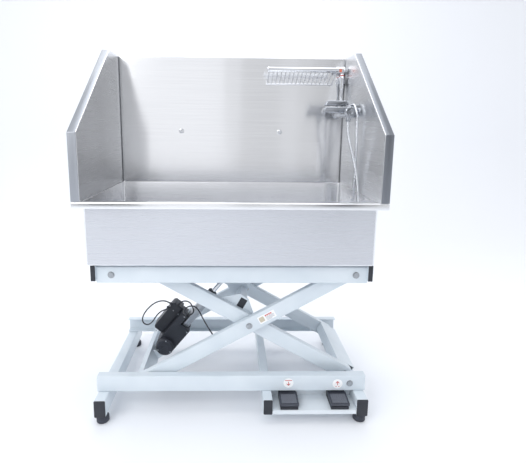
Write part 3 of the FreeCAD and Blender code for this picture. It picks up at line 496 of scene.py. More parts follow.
class StageOperator(bpy.types.Operator):
    """Pale sweep, soft lamps and the camera"""

    bl_idname = "bath.stage"
    bl_label = "Stage"

    def execute(self, context):
        camera = bpy.data.cameras.new("Camera")
        camera.lens = LENS
        camera.sensor_width = SENSOR
        camera.shift_x, camera.shift_y = SHIFT
        eye = bpy.data.objects.new("Camera", camera)
        context.scene.collection.objects.link(eye)
        eye.location = EYE
        ahead = np.array([math.sin(YAW) * math.cos(PITCH), math.cos(YAW) * math.cos(PITCH), math.sin(PITCH)])
        right = np.array([math.cos(YAW), -math.sin(YAW), 0])
        up = np.cross(right, ahead)
        right, up = (math.cos(ROLL) * right + math.sin(ROLL) * up,
                     -math.sin(ROLL) * right + math.cos(ROLL) * up)
        eye.rotation_euler = Matrix(np.stack([right, up, -ahead], 1).tolist()).to_euler()
        context.scene.camera = eye

        material, _, _ = base_material("studio_paper", "#F4F6FA", 0.0, 0.9)
        MATERIALS["studio_paper"] = material
        run = np.array([(-6, 0), (3.2, 0), (3.2, 5)])
        line, _ = eased(run, 1.2, 16, closed=False)
        width = np.array([-7, 7])
        rings = np.stack([np.broadcast_to(width, (len(line), 2)),
                          np.broadcast_to(line[:, :1], (len(line), 2)),
                          np.broadcast_to(line[:, 1:], (len(line), 2))], -1)
        mesh = bpy.data.meshes.new("studio_sweep")
        mesh.from_pydata(rings.reshape(-1, 3).tolist(), [], quads(len(line), 2, False).tolist())
        sweep = bpy.data.objects.new("studio_sweep", mesh)
        mesh.shade_smooth()
        mesh.materials.append(material)
        context.scene.collection.objects.link(sweep)

        self.sky(context)
        for name, place, aim, size, watts in LAMPS:
            lamp = bpy.data.lights.new(name, "AREA")
            lamp.size = size
            lamp.energy = watts
            obj = bpy.data.objects.new(name, lamp)
            context.scene.collection.objects.link(obj)
            obj.location = place
            obj.rotation_euler = (Vector(aim) - Vector(place)).to_track_quat("-Z", "Y").to_euler()
        return {"FINISHED"}

    def sky(self, context):
        """White room light, with a tall grey flag at each side of the front that gives the steel its
        darker side. The ramp runs over the sideways part of the direction, on the front half only.
        """
        world = bpy.data.worlds.new("Studio")
        context.scene.world = world
        world.use_nodes = True
        tree = world.node_tree
        where = add(tree, "ShaderNodeTexCoord")
        parts = add(tree, "ShaderNodeSeparateXYZ", [("Vector", where.outputs["Generated"])])
        sideways = add(tree, "ShaderNodeMapRange", [("Value", parts.outputs["X"])])
        sideways.inputs["From Min"].default_value = -SKY_REACH
        sideways.inputs["From Max"].default_value = SKY_REACH
        ramp = add(tree, "ShaderNodeValToRGB", [("Fac", sideways.outputs["Result"])])
        while len(ramp.color_ramp.elements) < len(SKY_STOPS):
            ramp.color_ramp.elements.new(0.5)
        for element, (position, value) in zip(ramp.color_ramp.elements, SKY_STOPS):
            element.position = position
            element.color = (value * 0.965, value * 0.975, value, 1)
        front = add(tree, "ShaderNodeMapRange", [("Value", parts.outputs["Y"])])
        front.inputs["From Min"].default_value = -0.45
        front.inputs["From Max"].default_value = -0.75
        mixed = add(tree, "ShaderNodeMix", data_type="RGBA")
        tree.links.new(front.outputs["Result"], mixed.inputs[0])
        mixed.inputs[6].default_value = (0.955, 0.972, 1.0, 1)
        tree.links.new(ramp.outputs["Color"], mixed.inputs[7])
        light = tree.nodes["Background"]
        tree.links.new(mixed.outputs[2], light.inputs["Color"])
        light.inputs["Strength"].default_value = 0.98
        context.scene.view_settings.view_transform = "Standard"


# ---------------------------------------------------------------- tub and splash panels
class TubOperator(bpy.types.Operator):
    """Basin and rolled rim from one sheet, and the splash panels folded at their edges"""

    bl_idname = "bath.tub"
    bl_label = "Tub and panels"

    def execute(self, context):
        self.basin()
        self.side_panel("side_panel_left", -1)
        self.side_panel("side_panel_right", 1)
        self.back_panel()
        return {"FINISHED"}

    def basin(self):
        """Rings are rounded rectangles in plan. The seen skin runs from the lip's return over the rim,
        down the wall, round the foot and across the floor to the drain; the hidden skin comes back a
        sheet's thickness away, with each bend's radius less or more by that thickness."""
        low, high = corners("tub_basin")
        wall = corners("side_panel_right")[0][0]
        drain = middle("drain_strainer")
        outer = np.array([low[0], high[0], low[1], high[1]])
        inner = np.array([-wall, wall, low[1] + 33 * MM, corners("back_panel")[0][1]])
        inward = np.array([1, -1, 1, -1])
        lip, top, floor = high[2] - 28 * MM, high[2], low[2] + 2 * MM
        corner = sizes().basin_corner
        bend = np.linspace(0, math.pi / 2, 6)

        def skin(t):
            """The section's rings, t away from the seen face."""
            small, roll, fold, foot = 3 * MM, sizes().sheet_corner, 4 * MM, 10 * MM
            rows = [(outer + inward * 9 * MM, 2 * MM, lip + t)]
            rows += [(outer + inward * (small - (small - t) * math.sin(a)), 4 * MM,
                      lip + small - (small - t) * math.cos(a)) for a in bend]
            rows += [(outer + inward * (roll - (roll - t) * math.cos(a)), 4 * MM,
                      top - roll + (roll - t) * math.sin(a)) for a in bend]
            rows += [(inner - inward * (fold - (fold - t) * math.sin(a)), corner,
                      top - fold + (fold - t) * math.cos(a)) for a in bend]
            rows += [(inner + inward * (foot - (foot + t) * math.cos(a)), corner,
                      floor + foot - (foot + t) * math.sin(a)) for a in bend]
            rings = []
            for edges, r, height in rows:
                shape, _ = eased(oblong(*edges), r, 7)
                rings.append(PLAN.at(shape[:, 0], shape[:, 1], np.full(len(shape), height)))
            angle = np.arctan2(rings[-1][:, 1] - drain[1], rings[-1][:, 0] - drain[0])
            for r, dip in ((60 * MM, 0.0), (39 * MM, 0.0), (38.4 * MM, 0.4 * MM), (26 * MM, 0.4 * MM)):
                rings.append(np.stack([drain[0] + r * np.cos(angle), drain[1] + r * np.sin(angle),
                                       np.full(len(angle), floor - t - dip)], 1))
            return rings

        seen = skin(0.0)
        rows = seen + skin(sizes().sheet_thick)[::-1] + [seen[0]]
        sheet = piece("basin_sheet", [(np.stack(rows), True, False)], "tub", "stainless_along", ("tub_basin",))
        # Outer faces of the walls below the rim, and the floor's underside, take a second steel: its higher
        # roughness is the sheet's plainer outside, and its darker colour is painted shade under the rolled rim
        # and under the floor.
        sheet.data.materials.append(finish_of("outside_steel_painted_shade"))
        centre = np.zeros(len(sheet.data.polygons) * 3)
        sheet.data.polygons.foreach_get("center", centre)
        x, y, z = centre.reshape(-1, 3).T
        past = np.maximum.reduce([np.abs(x) - wall, inner[2] - y, y - inner[3]])
        outside = ((past > 1 * MM) & (z < lip - 1 * MM)) | (z < floor - 1 * MM)
        sheet.data.polygons.foreach_set("material_index", outside.astype(np.int32))

    def pan(self, name, shape, radius, start, stop, place, material):
        """A wall whose edges fold back by the pan's depth and in again. The seen skin's rings are the
        outline drawn in by a bend's cosine; the hidden skin is a sheet's thickness behind it."""
        way = np.sign(stop - start)
        deep = abs(stop - start)
        sheet = sizes().sheet_thick
        bend = np.linspace(0, math.pi / 2, 5)
        fold = 3 * MM

        def skin(t):
            rows = [(fold - (fold - t) * math.sin(a), fold - (fold - t) * math.cos(a)) for a in bend]
            rows += [(fold - (fold - t) * math.cos(a), deep - fold + (fold - t) * math.sin(a)) for a in bend]
            rows += [(14 * MM, deep - t)]
            rings = [place.at(*drawn_in(shape, radius, a, 6).T, np.full(len(shape) * 6, start + way * d))
                     for a, d in rows]
            centre = place.at(*np.mean(shape, 0), start + way * t)
            return [centre + (rings[0] - centre) * k for k in (0, 0.5, 0.9, 0.98)] + rings

        rows = skin(0.0) + skin(sheet)[::-1]
        return piece(name + "_sheet", [(np.stack(rows), True, False)], "tub", material, (name,))

    def side_panel(self, name, side):
        low, high = corners(name)
        near = low[0] if side > 0 else high[0]
        far = high[0] if side > 0 else low[0]
        flat = 201 * MM
        rise = 279 * MM
        shape = [(low[1], low[2]), (high[1], low[2]), (high[1], high[2]), (high[1] - flat, high[2]),
                 (low[1], low[2] + rise)]
        radius = [2 * MM, 2 * MM, 3 * MM, 4 * MM, 4 * MM]
        sheet = self.pan(name, shape, radius, near, far, SIDE, "stainless_side")
        # The faces that look forward (normal along -Y) take a darker copy of the same steel, darker on the
        # right panel than the left: painted shade on the panels' front edges, not a different finish.
        sheet.data.materials.append(finish_of("lip_painted_shade_" + ("right" if side > 0 else "left")))
        normal = np.zeros(len(sheet.data.polygons) * 3)
        sheet.data.polygons.foreach_get("normal", normal)
        sheet.data.polygons.foreach_set("material_index", (normal[1::3] < -0.6).astype(np.int32))

    def back_panel(self):
        low, high = corners("back_panel")
        self.pan("back_panel", oblong(low[0], high[0], low[2], high[2]), 2 * MM, low[1], high[1], FRONT,
                 "stainless_along")
        grids = []
        for x in (low[0] + 3 * MM, high[0] - 3 * MM):
            line = np.stack([np.full(40, x), np.full(40, low[1] - 0.4 * MM),
                             np.linspace(low[2] + 2 * MM, high[2] - 4 * MM, 40)], 1)
            grids.append((carried(line, 1.6 * MM, 10), True, True))
        piece("corner_weld_beads", grids, "tub", "weld")


# ---------------------------------------------------------------- frame of the lift
def channel_section(low, high, wall, inward, corner):
    """A C in the YZ plane, open on the inward side."""
    y0, y1 = (low[1], high[1])
    z0, z1 = low[2], high[2]
    if inward > 0:
        shape = [(y0, z0), (y1, z0), (y1, z0 + wall), (y0 + wall, z0 + wall),
                 (y0 + wall, z1 - wall), (y1, z1 - wall), (y1, z1), (y0, z1)]
        radii = [corner, wall * 0.4, wall * 0.4, corner - wall, corner - wall, wall * 0.4, wall * 0.4, corner]
    else:
        shape = [(y0, z0), (y1, z0), (y1, z1), (y0, z1), (y0, z1 - wall), (y1 - wall, z1 - wall),
                 (y1 - wall, z0 + wall), (y0, z0 + wall)]
        radii = [wall * 0.4, corner, corner, wall * 0.4, wall * 0.4, corner - wall, corner - wall, wall * 0.4]
    return shape, radii


class RailsOperator(bpy.types.Operator):
    """Channel rails, side tubes and end members with rolled corners, and their bolts"""

    bl_idname = "bath.rails"
    bl_label = "Rails and tubes"

    def execute(self, context):
        corner = sizes().tube_corner
        for node, body, inward in (("base_rail_front", "base", 1), ("base_rail_rear", "base", -1),
                                   ("upper_rail_front", "tub", 1), ("upper_rail_rear", "tub", -1)):
            low, high = corners(node)
            shape, radii = channel_section(low, high, 3 * MM, inward, corner)
            piece(node + "_section", [plate(shape, radii, low[0], high[0], 0.3 * MM, SIDE)], body, "paint",
                  (node,))
        low, high = corners("base_side_tubes")
        wide = 50 * MM
        grids = [plate(oblong(x, x + wide, low[2], high[2]), corner, low[1], high[1], 0.5 * MM, FRONT)
                 for x in (low[0], high[0] - wide)]
        piece("side_tubes", grids, "base", "paint", ("base_side_tubes",))
        low, high = corners("base_middle_tube")
        piece("middle_tube", [plate(oblong(low[0], high[0], low[2], high[2]), corner, low[1], high[1],
                                    0.5 * MM, FRONT)], "base", "paint", ("base_middle_tube",))
        self.caps()
        low, high = corners("upper_end_members")
        wide = 22 * MM
        grids = [plate(oblong(x, x + wide, low[2], high[2]), 3 * MM, low[1], high[1], 0.6 * MM, FRONT)
                 for x in (low[0], high[0] - wide)]
        piece("end_members", grids, "tub", "paint", ("upper_end_members",))
        plugs = []
        for x in (low[0], high[0] - wide):
            for y0, y1 in ((low[1] - 2.5 * MM, low[1]), (high[1], high[1] + 2.5 * MM)):
                plugs.append(plate(oblong(x + 1 * MM, x + wide - 1 * MM, low[2] + 1 * MM, high[2] - 1 * MM),
                                   3 * MM, y0, y1, 1 * MM, FRONT))
        piece("end_member_plugs", plugs, "tub", "black_plastic", ())
        self.bolts()
        self.arrows()
        return {"FINISHED"}

    def caps(self):
        """Each cap is a soft-edged plate 4 mm thick, over each tube's end."""
        low, high = corners("base_end_caps")
        side = corners("base_side_tubes")
        mid = corners("base_middle_tube")
        wide = 50 * MM
        spots = [(side[0][0], side[0][0] + wide, side[0][2], side[1][2]),
                 (side[1][0] - wide, side[1][0], side[0][2], side[1][2]),
                 (mid[0][0], mid[1][0], mid[0][2], mid[1][2])]
        grids = []
        for x0, x1, z0, z1 in spots:
            for y0, y1 in ((low[1], low[1] + 4 * MM), (high[1] - 4 * MM, high[1])):
                grids.append(plate(oblong(x0, x1, z0, z1), 5 * MM, y0, y1, 1.6 * MM, FRONT))
        piece("tube_end_caps", grids, "base", "black_plastic", ("base_end_caps",))

    def bolts(self):
        """A washer and a round domed head with a round shoulder at each end of a pin, and zinc on the pins
        themselves.
        """
        for node, body in (("lower_pivot_pins", "base"), ("upper_pivot_pins", "tub")):
            low, high = corners(node)
            spots = {"base": [(547 * MM, (low[2] + high[2]) / 2)],
                     "tub": [(547 * MM, (low[2] + high[2]) / 2), (-519 * MM, (low[2] + high[2]) / 2)]}[body]
            grids = []
            for x, z in spots:
                for y, way in ((low[1], -1), (high[1], 1)):
                    grids += bolt(x, y, z, way)
            piece(node.replace("pins", "bolt_heads"), grids, body, "zinc", ())
            paint(node, "zinc")

    def arrows(self):
        """A round label over each pedal: one arrow down to a line, one up."""
        face = corners("base_rail_front")[0][1]
        for word, x, z, way in (("down", 265 * MM, 162 * MM, -1), ("up", 491 * MM, 157 * MM, 1)):
            r = 23 * MM
            marks(f"label_{word}", "base", "label_white", [(oblong(x - r, x + r, z - r, z + r), r * 0.999)],
                  FRONT, face, 0.3 * MM)
            tip = np.array([x, z + way * 11 * MM])
            tail = np.array([x, z - way * 7 * MM])
            lines = [stroke(tail, tip, 3 * MM)]
            for side in (-1, 1):
                lines.append(stroke(tip - [side * 8 * MM, way * 8 * MM], tip + [0, way * 1 * MM], 3 * MM))
            if way < 0:
                lines.append(stroke((x - 16 * MM, z + 13 * MM), (x + 16 * MM, z + 13 * MM), 3 * MM))
            else:
                lines += [stroke((x + a, z - 13 * MM), (x + a + 5 * MM, z - 13 * MM), 3 * MM)
                          for a in (-9 * MM, 4 * MM)]
            marks(f"arrow_{word}", "base", "arrow_ink", [(line, 0.4 * MM) for line in lines], FRONT, face,
                  0.5 * MM)


def marks(name, body, material, shapes, place, face, lift):
    """Thin printed shapes on a flat face, their fronts lift proud of it."""
    grids = [plate(points, radius, face - lift, face + 0.05 * MM, 0.03 * MM, place, 8, 2)
             for points, radius in shapes]
    return piece(name, grids, body, material)


def bolt(x, y, z, way, radius=0.0115, high=0.0045):
    """A flat washer and a domed head with a hexagon socket look: the face is at y, looking along way."""
    place = Place(X, Z, Y * way, (x, y - way * high, z))
    head = [(0, high - 2.2 * MM), (radius * 0.42, high - 2.2 * MM), (radius * 0.46, high - 0.3 * MM),
            (radius * 0.62, high), (radius * 0.9, high * 0.72), (radius * 0.97, high * 0.2),
            (radius * 0.97, 0)]
    washer = [(radius * 0.6, -1 * MM), (radius * 1.3, -1 * MM),
              (radius * 1.3, 0.6 * MM), (radius * 0.6, 0.6 * MM)]
    return [lathe(head, 0.5 * MM, place, 30), hoop(eased(washer[::-1], 0.3 * MM, 3)[0], place, 30)]


# ---------------------------------------------------------------- scissor arms
def arm_frames():
    """The two tilted frames of the scissor, from its pivots' places."""
    joints = {j["name"]: j for j in frame["joints"]}
    centre = np.array(joints["scissor_centre"]["pos_m"])
    top = np.array(joints["tub_pivot"]["pos_m"])
    reach = np.hypot(*(top - centre)[[0, 2]])
    tilt = math.atan2(top[2] - centre[2], top[0] - centre[0])
    return reach, tilted(centre[0], centre[2], tilt), tilted(centre[0], centre[2], -tilt), centre


class ArmsOperator(bpy.types.Operator):
    """Scissor arms, their cross members, lever plates, rollers and pivots"""

    bl_idname = "bath.arms"
    bl_label = "Scissor arms"

    def execute(self, context):
        reach, outer, inner, centre = arm_frames()
        half = 34.5 * MM
        for node, body, place in (("outer_arm_front", "outer_arms", outer),
                                  ("outer_arm_rear", "outer_arms", outer),
                                  ("inner_arm_front", "inner_arms", inner),
                                  ("inner_arm_rear", "inner_arms", inner)):
            low, high = corners(node)
            shape = oblong(-reach - half, reach + half, -half, half)
            grid = plate(shape, half * 0.998, low[1], high[1], 4 * MM, place, 14)
            piece(node + "_tube", [grid], body, "paint", (node,))
        self.label(outer)
        for node in ("outer_cross_tube", "inner_cross_box", "lift_tube", "lift_lever_plates", "actuator_ears"):
            copy_with_soft_edges(node, "paint", 1.0 * MM)
        copy_with_soft_edges("lift_tube_caps", "black_plastic", 1.0 * MM)
        for node in ("outer_arm_bushes", "inner_arm_bushes"):
            paint(node, "bronze")
        for node in ("centre_pins", "lower_roller_pins", "upper_roller_pins"):
            paint(node, "zinc")
        for level in ("lower", "upper"):
            for side in ("front", "rear"):
                self.roller(f"roller_{level}_{side}")
        low, high = corners("centre_pins")
        grids = bolt(centre[0], low[1], centre[2], -1) + bolt(centre[0], high[1], centre[2], 1)
        piece("centre_bolt_heads", grids, "outer_arms", "zinc", ())
        return {"FINISHED"}

    def label(self, outer):
        """A plain white sticker with a rounded patch and rows of plain bars, and no words or signs."""
        face = corners("outer_arm_front")[0][1]
        at = 92 * MM
        marks("arm_label", "outer_arms", "label_white",
              [(oblong(at - 42 * MM, at + 42 * MM, -18 * MM, 18 * MM), 2 * MM)], outer, face, 0.25 * MM)
        patch = oblong(at - 38 * MM, at - 14 * MM, -12 * MM, 12 * MM)
        marks("arm_label_patch", "outer_arms", "label_sand", [(patch, 4 * MM)], outer, face, 0.4 * MM)
        bars = [stroke((at - 6 * MM, z), (at + reach, z), 2.2 * MM)
                for z, reach in ((1 * MM, 36 * MM), (-4 * MM, 32 * MM),
                                 (-9 * MM, 36 * MM), (-14 * MM, 20 * MM))]
        marks("arm_label_lines", "outer_arms", "label_grey",
              [(b, 0.4 * MM) for b in bars], outer, face, 0.4 * MM)
        bars = [stroke((at + x, 9 * MM), (at + x + 6 * MM, 9 * MM), 8 * MM)
                for x in (-6 * MM, 3 * MM, 12 * MM, 21 * MM)]
        marks("arm_label_head", "outer_arms", "arrow_ink",
              [(b, 1.5 * MM) for b in bars], outer, face, 0.4 * MM)

    def roller(self, node):
        """A nylon wheel: crowned tread, dished sides and a hub."""
        low, high = corners(node)
        spot = (low + high) / 2
        r = (high[0] - low[0]) / 2
        w = high[1] - low[1]
        place = Place(X, Z, Y, (spot[0], low[1], spot[2]))
        section = [(10.2 * MM, 0.5 * MM), (16 * MM, 0.5 * MM), (18 * MM, 3 * MM), (r - 6 * MM, 3 * MM),
                   (r - 4 * MM, 0), (r - 1 * MM, 0), (r, 2 * MM), (r, w - 2 * MM), (r - 1 * MM, w),
                   (r - 4 * MM, w), (r - 6 * MM, w - 3 * MM), (18 * MM, w - 3 * MM), (16 * MM, w - 0.5 * MM),
                   (10.2 * MM, w - 0.5 * MM)]
        piece(node + "_wheel", [hoop(eased(section, 0.8 * MM, 3)[0], place, 48)],
              node, "nylon", (node,))


# ---------------------------------------------------------------- the rest: finished CAD pieces
def push_frame():
    """The actuator's frame: along its rod, across it and along +Y, from its hinge."""
    joints = {j["name"]: j for j in frame["joints"]}
    way = np.array(joints["rod_slide"]["axis"], float)
    way /= np.linalg.norm(way)
    return Place(way, np.array([-way[2], 0, way[0]]), Y, joints["actuator_pivot"]["pos_m"])


def screw_head(at, place, radius=0.004):
    """A pan head with a dished middle, on a face of the given frame."""
    a, b, depth, way = at
    spot = Place(place.p, place.q * way, place.d * way, place.at(a, b, depth))
    profile = [(0, 1.0 * MM), (radius * 0.4, 1.0 * MM), (radius * 0.55, 1.9 * MM), (radius * 0.8, 1.7 * MM),
               (radius, 0.6 * MM), (radius, -0.5 * MM)]
    return lathe(profile, 0.3 * MM, spot, 18, 3)


class DriveOperator(bpy.types.Operator):
    """Actuator housing, motor, control box, tube and rod"""

    bl_idname = "bath.drive"
    bl_label = "Actuator"

    def execute(self, context):
        push = push_frame()
        copy_with_soft_edges("actuator_housing", "black_plastic", 2 * MM)
        copy_with_soft_edges("control_box", "black_plastic", 4 * MM)
        copy_with_soft_edges("actuator_rod", "chrome", 0.8 * MM)
        spot = Place(push.p, push.q, push.d, push.at(69 * MM, 12 * MM, 0))
        cans = []
        for r, face, root, way in ((45 * MM, -66 * MM, -42 * MM, 1), (38 * MM, 54 * MM, 42 * MM, -1)):
            line = [(0, face + way * 2 * MM), (r * 0.30, face + way * 2 * MM),
                    (r * 0.36, face + way * 0.8 * MM),
                    (r * 0.72, face), (r * 0.88, face + way * 0.6 * MM), (r, face + way * 7 * MM),
                    (r, root - way * 6 * MM), (r - 1.2 * MM, root - way * 5.4 * MM),
                    (r - 1.2 * MM, root - way * 3.6 * MM), (r, root - way * 3 * MM), (r, root), (0, root)]
            cans.append(lathe(line, 1.2 * MM, spot, 64))
        piece("motor_caps", cans, "actuator", "motor_case", ("actuator_motor",))
        screws = [screw_head((69 * MM + 36 * MM * math.cos(t), 12 * MM + 36 * MM * math.sin(t),
                              -65.4 * MM, -1), push)
                  for t in (0.5, 2.6, 4.7)]
        for a, n in ((52, -24), (194, -28), (252, 34), (72, 52)):
            screws += [screw_head((a * MM, n * MM, side * 42 * MM, side), push) for side in (-1, 1)]
        for a in (100, 240):
            for n in (66, 98):
                screws += [screw_head((a * MM, n * MM, side * 35 * MM, side), push, 0.003) for side in (-1, 1)]
        piece("housing_screws", screws, "actuator", "zinc")
        cross = Place(push.q, Y, push.p, push.origin)
        octagon = np.array([(-22, -13), (-9, -22), (9, -22), (22, -13), (22, 13), (9, 22), (-9, 22),
                            (-22, 13)]) * MM
        outline = drawn_in(octagon, 2 * MM, 0.0)
        rings = []
        for shape, depths in ((outline, (207, 429.5)), (drawn_in(octagon, 2 * MM, 0.5 * MM), (430,)),
                              (outline / np.hypot(*outline.T)[:, None] * 13 * MM, (430, 207)),
                               (outline, (207,))):
            rings += [cross.at(shape[:, 0], shape[:, 1], np.full(len(shape), d * MM)) for d in depths]
        piece("sleeve_extrusion", [(np.stack(rings), True, False)],
              "actuator", "aluminium", ("actuator_tube",))
        collar = [(11.4 * MM, 431 * MM), (12.5 * MM, 439 * MM), (20 * MM, 439 * MM), (24 * MM, 436 * MM),
                  (24 * MM, 424 * MM), (22.5 * MM, 422 * MM), (11.4 * MM, 422 * MM)]
        piece("sleeve_collars", [hoop(eased(collar, 1 * MM, 4)[0], cross, 48)], "actuator", "black_plastic")
        glands = []
        for at, way in (((-275.6, 0, 404.8), push.p), ((-305.7, 0, 409), push.q),
                        ((-316.9, -14, 394.9), push.q)):
            side = np.cross(Y, way)
            spot = Place(side, Y, way, np.array(at) * MM)
            line = [(3.3, 16), (4.2, 15.5), (4.8, 11), (5.8, 10.5), (6.3, 4), (8.5, 3.6),
                    (8.5, -0.5), (3.3, -0.5)]
            glands.append(hoop(eased(np.array(line) * MM, 0.4 * MM, 3)[0], spot, 24))
        piece("cable_glands", glands, "actuator", "black_plastic")
        return {"FINISHED"}


class BaseOperator(bpy.types.Operator):
    """Feet, pedal tray and foot pedals"""

    bl_idname = "bath.base"
    bl_label = "Feet and pedals"

    def execute(self, context):
        for node in ("foot_front_left", "foot_front_right", "foot_rear_left", "foot_rear_right"):
            self.foot(node)
        copy_with_soft_edges("pedal_tray", "tray_paint", 0.6 * MM)
        copy_with_soft_edges("pedal_bases", "black_plastic", 1.0 * MM)
        for word in ("down", "up"):
            copy_with_soft_edges("treadle_" + word, "pedal_plastic", 2.5 * MM)
            copy_with_soft_edges("tread_" + word, "tread", 0.8 * MM)
            self.studs(word)
        return {"FINISHED"}

    def foot(self, node):
        """A turned rubber pad whose rim is scalloped: r grows by a small cosine of 20 turns round it,
        and above it a stem with a locknut."""
        low, high = corners(node)
        spot = (low + high) / 2
        place = Place(X, Y, Z, (spot[0], spot[1], 0))
        line = np.array([(0, 0), (25, 0), (28, 3), (28, 22), (20, 32), (12, 33)]) * MM
        rings, wrap, caps = lathe(line, 2 * MM, place, 80)
        turn = np.linspace(0, 2 * math.pi, 80, endpoint=False)
        height = rings[:, 0, 2]
        grip = 0.5 * MM * np.clip(np.minimum(height - 4 * MM, 24 * MM - height) / (2 * MM), 0, 1)
        spoke = np.stack([np.cos(turn), np.sin(turn), np.zeros(80)], 1)
        rings = rings - spoke[None] * (grip[:, None] * (1 + np.cos(20 * turn)[None]))[..., None]
        piece(node + "_pad", [(rings, wrap, caps)], node, "rubber", (node,))
        nut = [(12 * MM * math.cos(t), 12 * MM * math.sin(t)) for t in np.arange(6) * math.pi / 3]
        stem = np.array([(0, 30), (8, 30), (8, 72), (0, 72)]) * MM
        piece(node + "_stem", [plate(nut, 1 * MM, 32.5 * MM, 41.4 * MM, 1 * MM, place),
                               lathe(stem, 0.6 * MM, place, 32)], node, "black_zinc", ())

    def studs(self, word):
        """Rows of low round studs on the sloping pad: each is three rings of ten points."""
        low, high = corners("tread_" + word)
        pitch = sizes().stud_pitch
        xs = np.arange(low[0] + 5 * MM, high[0] - 3 * MM, pitch)
        ys = np.arange(low[1] + 4.5 * MM, high[1] - 3 * MM, pitch)
        turn = np.linspace(0, 2 * math.pi, 10, endpoint=False)
        slope = 6 / 62
        grids = []
        for x in xs:
            for y in ys:
                z = low[2] + 2 * MM + (y - low[1]) * slope
                r = np.array([3.1, 2.8, 2.0])[:, None] * MM
                up = np.array([-0.3, 0.9, 1.3])[:, None] * MM
                px, py = x + r * np.cos(turn), y + r * np.sin(turn)
                grids.append((np.stack([px, py, z + up + r * np.sin(turn) * slope], -1), True, True))
        piece("studs_" + word, grids, "pedal_" + word, "tread", ())


